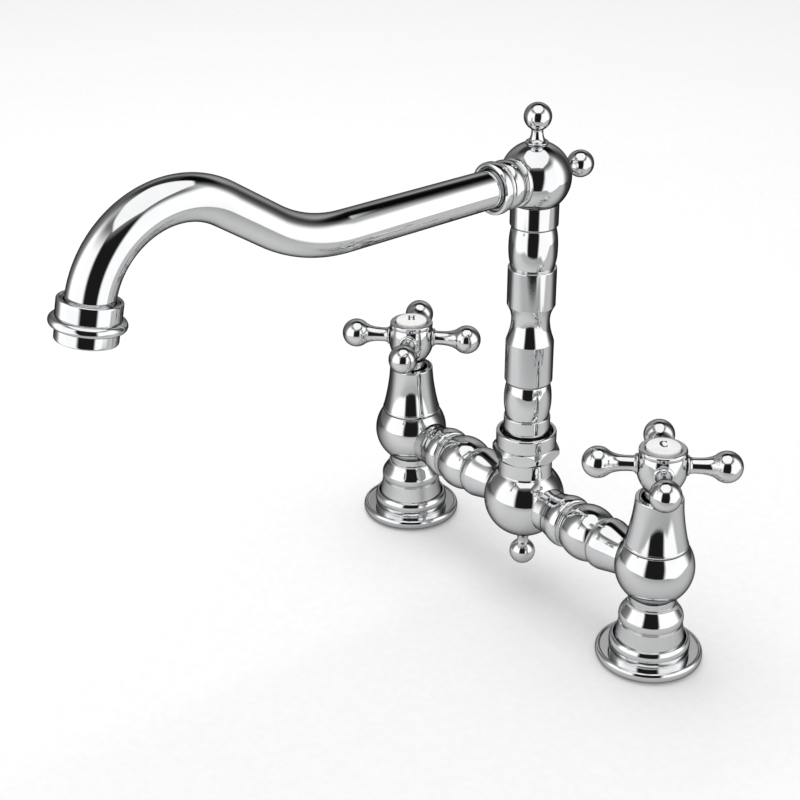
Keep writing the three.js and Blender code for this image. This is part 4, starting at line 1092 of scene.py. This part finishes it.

# %% [markdown]
# ## Floor and table
# The camera sees one pale matt floor without an end. The chrome should not: a studio table is small, and past
# its edges the walls of the tent go on downwards. So the floor hides from reflections, and a table top shows
# in them instead. Its cloth ends softly at the front and the left, and a corner is cut off at the right. Its
# colour carries painted shade: much darker behind the faucet, where less light falls, which draws the dark
# outlines, and a little darker at the front and towards the right. Both sheets are lit alike and take the
# shadows of the faucet. A faint glow of their own, which only the camera and mirrors see, brings the floor to
# the white of the room.

# %% Floor, table and room
def seen_directly(recipe):
    """1 for rays that come from the camera or from a mirror or glass, otherwise 0."""
    path = recipe.node("ShaderNodeLightPath")
    total = path["Is Camera Ray"] + path["Is Glossy Ray"] + path["Is Transmission Ray"]
    return total.maths("MINIMUM", total, 1.0)


def sheet(name, half, drop, low, high, glow, painted_shade_and_outline=None):
    """A square pale sheet; the optional function gives its painted shade and its outline from the places
    ahead and across.
    """
    foot = Vector((0, HEART.y, -drop))
    corners = [(half, -half), (half, half), (-half, half), (-half, -half)]
    mesh = bpy.data.meshes.new(name)
    mesh.from_pydata([foot + FRONT * a + SIDEWAYS * b for a, b in corners], [], [range(len(corners))])
    matt = bpy.data.materials.new(name)
    mesh.materials.append(matt)
    recipe = Recipe(matt)
    where = recipe.node("ShaderNodeTexCoord")["Object"]
    fibre = recipe.grain(where, 240, 3).between(0.3, 0.7)
    colour = recipe.blend(fibre, grey(high), grey(low))
    if painted_shade_and_outline:
        shade, outline = painted_shade_and_outline(*studio_axes(recipe)[:2])
        # Painted shade darkens the sheet's colour here.
        colour = recipe.blend(shade, grey(0), colour)
    cloth = recipe.node("ShaderNodeBsdfPrincipled", {}, {
        "Base Color": colour, "Roughness": 0.85, "Specular IOR Level": 0.1,
    })
    own = recipe.node("ShaderNodeEmission", {}, {"Color": colour, "Strength": seen_directly(recipe) * glow})
    surface = recipe.node("ShaderNodeAddShader", {}, {0: cloth, 1: own})
    if painted_shade_and_outline:
        clear = recipe.node("ShaderNodeBsdfTransparent")
        surface = recipe.node("ShaderNodeMixShader", {}, {0: outline, 1: clear, 2: surface})
    recipe.node("ShaderNodeOutputMaterial", {}, {"Surface": surface})
    matt.cycles.emission_sampling = "NONE"
    return linked(name, mesh)


def table_outline_and_painted_shade(ahead, across):
    """Painted shade and outline of the table, in metres from the faucet: the shade darkens the cloth strongly
    behind the faucet and a little at the front and to the right.
    """
    shade = ahead.between(-0.2, 0.02, 0.1, 1) * (1 - ahead.between(0.12, 0.3, 0, 0.3))
    shade = shade * across.between(-0.1, 0.2, 1, 0.85)
    corner = across.between(0.2, 0.27) * (ahead + across * 0.12).between(0.21, 0.28)
    outline = ahead.between(0.35, 0.42, 1, 0) * (across - ahead * 0.4).between(-0.56, -0.46) * (1 - corner)
    return shade, outline


floor = sheet("floor", 8, 0.001, 0.82, 0.84, 0.17)
floor.visible_glossy = False
floor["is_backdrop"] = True
table_top = sheet("table_top", 0.68, 0.0005, 0.63, 0.67, 0.04, table_outline_and_painted_shade)
only_mirrored(table_top)

world = bpy.data.worlds.new("white_room")
scene.world = world
recipe = Recipe(world)
direct = seen_directly(recipe)
sky = recipe.node("ShaderNodeBackground", {}, {"Color": grey(1), "Strength": 0.72 + direct * 0.26})
recipe.node("ShaderNodeOutputWorld", {}, {"Surface": sky})
print("floor, table and white room ready")

# %% [markdown]
# ## Lamp
# One large soft lamp, up and behind to the left, gives the soft shadow to the right of each foot. The chrome
# doesn't see it, because the tent's own soft box is there.

# %% Lamp
lamp_data = bpy.data.lights.new("overhead", "AREA")
lamp_data.energy, lamp_data.shape, lamp_data.size = 10, "SQUARE", 1.1
lamp = linked("overhead", lamp_data)
lamp.location = HEART - FRONT * 0.35 - SIDEWAYS * 0.25 + UPWARDS * 1.4
lamp.rotation_mode = "QUATERNION"
lamp.rotation_quaternion = (HEART - lamp.location).to_track_quat("-Z", "Y")
lamp.visible_glossy = False
print("lamp at", [round(v, 3) for v in lamp.location])

# %% [markdown]
# ## Camera
# The camera stands where the photograph was taken. Its place and its lens come from fitting the balls,
# flanges and arms of the part to the picture.

# %% Camera
CAMERA_SPOT = Vector((559.80, COLUMN_Y - 532.49, 487.30)) / METRE
CAMERA_RIGHT = Vector((0.62831, 0.77796, 0))
CAMERA_BACK = Vector((0.69534, -0.56151, 0.44857))
camera_data = bpy.data.cameras.new("camera")
camera_data.sensor_width, camera_data.lens = 36, 79.10
camera_data.clip_start, camera_data.clip_end = 0.02, 60
camera = linked("camera", camera_data)
scene.camera = camera
turned_to = Matrix((CAMERA_RIGHT, CAMERA_BACK.cross(CAMERA_RIGHT), CAMERA_BACK)).transposed().to_4x4()
camera.matrix_world = Matrix.Translation(CAMERA_SPOT) @ turned_to
scene.view_settings.view_transform = "Standard"
print("camera at", [round(v, 3) for v in camera.matrix_world.translation])

# %% [markdown]
# ## Sizes
# The skins must fill the same box as the part, so both boxes are printed.

# %% Sizes
bpy.context.view_layer.update()
skin_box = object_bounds()
for title, box in (("part", part_box), ("skin", skin_box)):
    print(title, [[round(c * METRE, 2) for c in v] for v in box])
